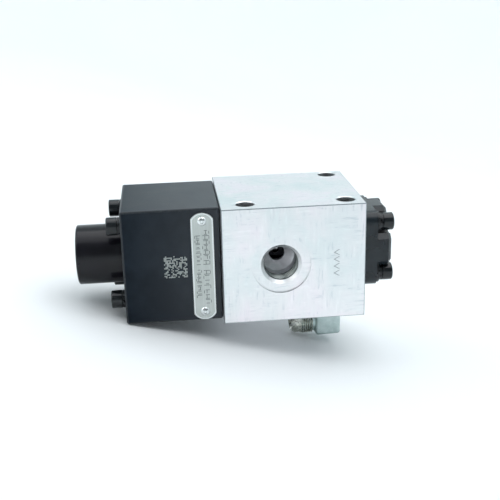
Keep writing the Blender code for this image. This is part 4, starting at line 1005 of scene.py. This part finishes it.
def make_elbow():
    """Square elbow with a stem, a threaded outlet with a plain coned nose, and its locknut."""
    box_low, box_high = low("elbow_fitting"), high("elbow_fitting")
    axis_z = BLOCK_LOW.z - ELBOW_DROP
    size, above, reach = 15.0 * MM, 8.0 * MM, 21.7 * MM
    height = axis_z + above - box_low.z
    here = upright(DRAIN_X, 0, axis_z, ELBOW_TURN)
    body = box("elbow_body", (size, size, height), here @ Matrix.Translation((0, 0, above - height / 2)))
    wear(body, FITTING, THREAD)
    bevel(body, 1.5 * MM, 4)
    stem = rod(6.5 * MM, 0, box_high.z - axis_z, here)
    outward = here @ Matrix.Rotation(-math.pi / 2, 4, "Y")
    root, crest, nose = 6.1 * MM, 7.0 * MM, 6.2 * MM
    start, end = size / 2 + 0.6 * MM, reach - 5.4 * MM
    core = turned("core", [(0, 0), (root, 0), (root, end), (0, end)], outward, ROUND)
    outlet = turned("outlet", [
        (0, end - 0.2 * MM), (nose - 0.3 * MM, end - 0.2 * MM), (nose, end + 0.1 * MM), (nose, reach - 2.0 * MM),
        (4.9 * MM, reach - 0.3 * MM), (4.6 * MM, reach), (0, reach)], outward, ROUND)
    wear(stem, FITTING)
    # the thread's root cylinder is painted near-black as shade between the thread's turns
    wear(core, RECESS_SHADE)
    wear(outlet, THREAD)
    boolean(body, [stem, core, outlet], "UNION")
    tools = [
        rod(3.4 * MM, -3.4 * MM, box_high.z - axis_z + 1 * MM, here, 48),
        rod(3.4 * MM, 0, reach + 1 * MM, outward, 48),
        turned("flare", [(0, reach - 1.2 * MM), (3.3 * MM, reach - 1.2 * MM), (4.5 * MM, reach + 0.1 * MM),
                         (4.5 * MM, reach + 1 * MM), (0, reach + 1 * MM)], outward, 48),
    ]
    for tool in tools:
        wear(tool, THREAD)
    boolean(body, tools)
    bake(body, 32.0, tools + [stem, core, outlet])
    place(body, "root", "plated_fitting", "elbow_fitting")
    pitch = 1.1 * MM
    turns = (end - start) / pitch - 0.5
    ridge = helix("elbow_thread", root - 0.05 * MM, crest, pitch, turns,
                  outward @ Matrix.Translation((0, 0, start + 0.5 * pitch)), ROUND)
    place(shade(wear(ridge, THREAD)), "root", "plated_fitting")

    spot, thick = middle("elbow_seal"), (high("elbow_seal").z - low("elbow_seal").z) / 2
    ring_r = (high("elbow_seal").x - low("elbow_seal").x) / 2 - thick
    ring = turned("stem_o_ring", arc((ring_r, 0.0), thick, 0, 345, 23), upright(spot.x, spot.y, spot.z), ROUND, True)
    place(shade(wear(ring, INNER["seal_rubber"])), "root", "seal_rubber", "elbow_seal")

    nut_low, nut_high = low("elbow_locknut"), high("elbow_locknut")
    centre = upright(DRAIN_X, 0, (nut_low.z + nut_high.z) / 2, math.radians(12))
    half = (nut_high.z - nut_low.z) / 2
    corner = 10.6 * MM
    nut = turned("fitting_locknut", [(0, -half), (corner, -half), (corner, half), (0, half)], centre, 6)
    dome = turned("dome", [
        (0, -half), (corner - 1.3 * MM, -half), (corner + 0.1 * MM, -half + 0.8 * MM),
        (corner + 0.1 * MM, half - 0.8 * MM), (corner - 1.3 * MM, half), (0, half)], centre, ROUND)
    boolean(nut, [dome], "INTERSECT")
    bore = rod(6.8 * MM, -half - 1 * MM, half + 1 * MM, centre, 48)
    boolean(nut, [bore])
    bake(nut, 28.0, [dome, bore])
    place(wear(nut, FITTING), "root", "plated_fitting", "elbow_locknut")


# ---- inner pieces that are carried over ----

def dress_inner_nodes():
    """The CAD nodes that stay: each takes the finish of its record slot."""
    slots = {part["node"]: part["material_slot"] for part in frame["record"]["subparts"]}
    for name, node in frame["nodes"].items():
        if slots.get(name) in INNER:
            wear(node, INNER[slots[name]])


# ---- studio: floor, light and camera ----

def floor_matrix():
    """The plane the valve lies on: through the housing's lower end edge and the elbow's thread."""
    left = Vector((HOUSING_LOW.x, 0, HOUSING_LOW.z))
    right = Vector((DRAIN_X - 20.4 * MM, 0, low("elbow_fitting").z))
    tilt = math.atan2(right.z - left.z, right.x - left.x)
    drop = Matrix.Translation((0, 0, -0.3 * MM))
    return Matrix.Translation(left) @ Matrix.Rotation(-tilt, 4, "Y") @ drop


def make_stage():
    """A wide pale floor that curves up into a backdrop, its front wall shaded like the open room."""
    outline = [(0.0, 0.0)] + arc((0.95, 0.45), 0.45, -90, 0, 16) + [(1.40, 2.2)]
    floor = turned("studio_floor", outline, floor_matrix(), 96)
    floor.data.flip_normals()
    floor.data.shade_smooth()
    look = Finish("studio_paper", (0.90, 0.93, 0.945), 0.7, 0.0, Specular_IOR_Level=0.1)
    paper = look.noise(3.0, (1, 1, 1), 2.0)
    pale = look.tint(paper, ((0.3, (0.90, 0.935, 0.95)), (0.7, (0.93, 0.945, 0.955))))
    axes = look.node("ShaderNodeSeparateXYZ")
    look.wire(look.where, axes.inputs["Vector"])
    ahead = look.spread(axes.outputs["Y"], 1.0, 0.0, -0.85, -0.35)
    raised = look.spread(axes.outputs["Z"], 0.0, 1.0, 0.0, 0.35)
    both = look.node("ShaderNodeMath", operation="MULTIPLY")
    look.wire(ahead, both.inputs[0])
    look.wire(raised, both.inputs[1])
    wall = look.node("ShaderNodeMix", data_type="RGBA")
    look.wire(look.spread(axes.outputs["Z"], 0.0, 1.0, 0.03, 0.5), wall.inputs[0])
    look.wire(pale, wall.inputs[6])
    wall.inputs[7].default_value = (0.84, 0.90, 0.90, 1.0)
    mix = look.node("ShaderNodeMix", data_type="RGBA")
    look.wire(both.outputs[0], mix.inputs[0])
    look.wire(wall.outputs[2], mix.inputs[6])
    mix.inputs[7].default_value = (0.22, 0.225, 0.23, 1.0)
    look.colour(mix.outputs[2])
    wear(floor, look.mat)


def area_light(name, place_at, target, size, power):
    """A square soft light aimed at a point."""
    light = bpy.data.lights.new(name, "AREA")
    light.size = size
    light.energy = power
    obj = bpy.data.objects.new(name, light)
    obj.location = place_at
    obj.rotation_euler = (Vector(target) - Vector(place_at)).to_track_quat("-Z", "Y").to_euler()
    bpy.context.scene.collection.objects.link(obj)


def make_light():
    """A bright, even surround, a big soft light above to the right and a weaker one from the left."""
    scene = bpy.context.scene
    world = bpy.data.worlds.new("surround")
    world.use_nodes = True
    back = world.node_tree.nodes["Background"]
    back.inputs["Color"].default_value = (0.90, 0.95, 1.0, 1.0)
    back.inputs["Strength"].default_value = 1.24
    scene.world = world
    area_light("key", (0.42, 0.16, 1.10), (0, 0, -0.05), 1.5, 8.0)
    area_light("left_fill", (-0.80, -0.20, 0.80), (-0.14, -0.08, -0.07), 0.9, 3.4)
    scene.view_settings.view_transform = "Standard"


def make_camera():
    """The camera at the reference viewing angle."""
    camera = bpy.data.cameras.new("camera")
    camera.lens = 62.38
    camera.sensor_width = 36.0
    camera.clip_start = 0.01
    camera.clip_end = 20.0
    obj = bpy.data.objects.new("camera", camera)
    yaw, pitch, roll = math.radians(5.677), math.radians(19.10), math.radians(-1.347)
    turn = Matrix.Rotation(-yaw, 4, "Z") @ Matrix.Rotation(math.pi / 2 - pitch, 4, "X")
    turn = turn @ Matrix.Rotation(roll, 4, "Z")
    obj.matrix_world = Matrix.Translation((-0.06761, -0.47293, 0.12910)) @ turn
    bpy.context.scene.collection.objects.link(obj)
    bpy.context.scene.camera = obj


make_block()
make_housing()
make_shell()
make_contacts()
make_spring()
make_cover()
make_elbow()
make_fasteners()
make_nameplate()
make_code_patch()
dress_inner_nodes()
make_stage()
make_light()
make_camera()
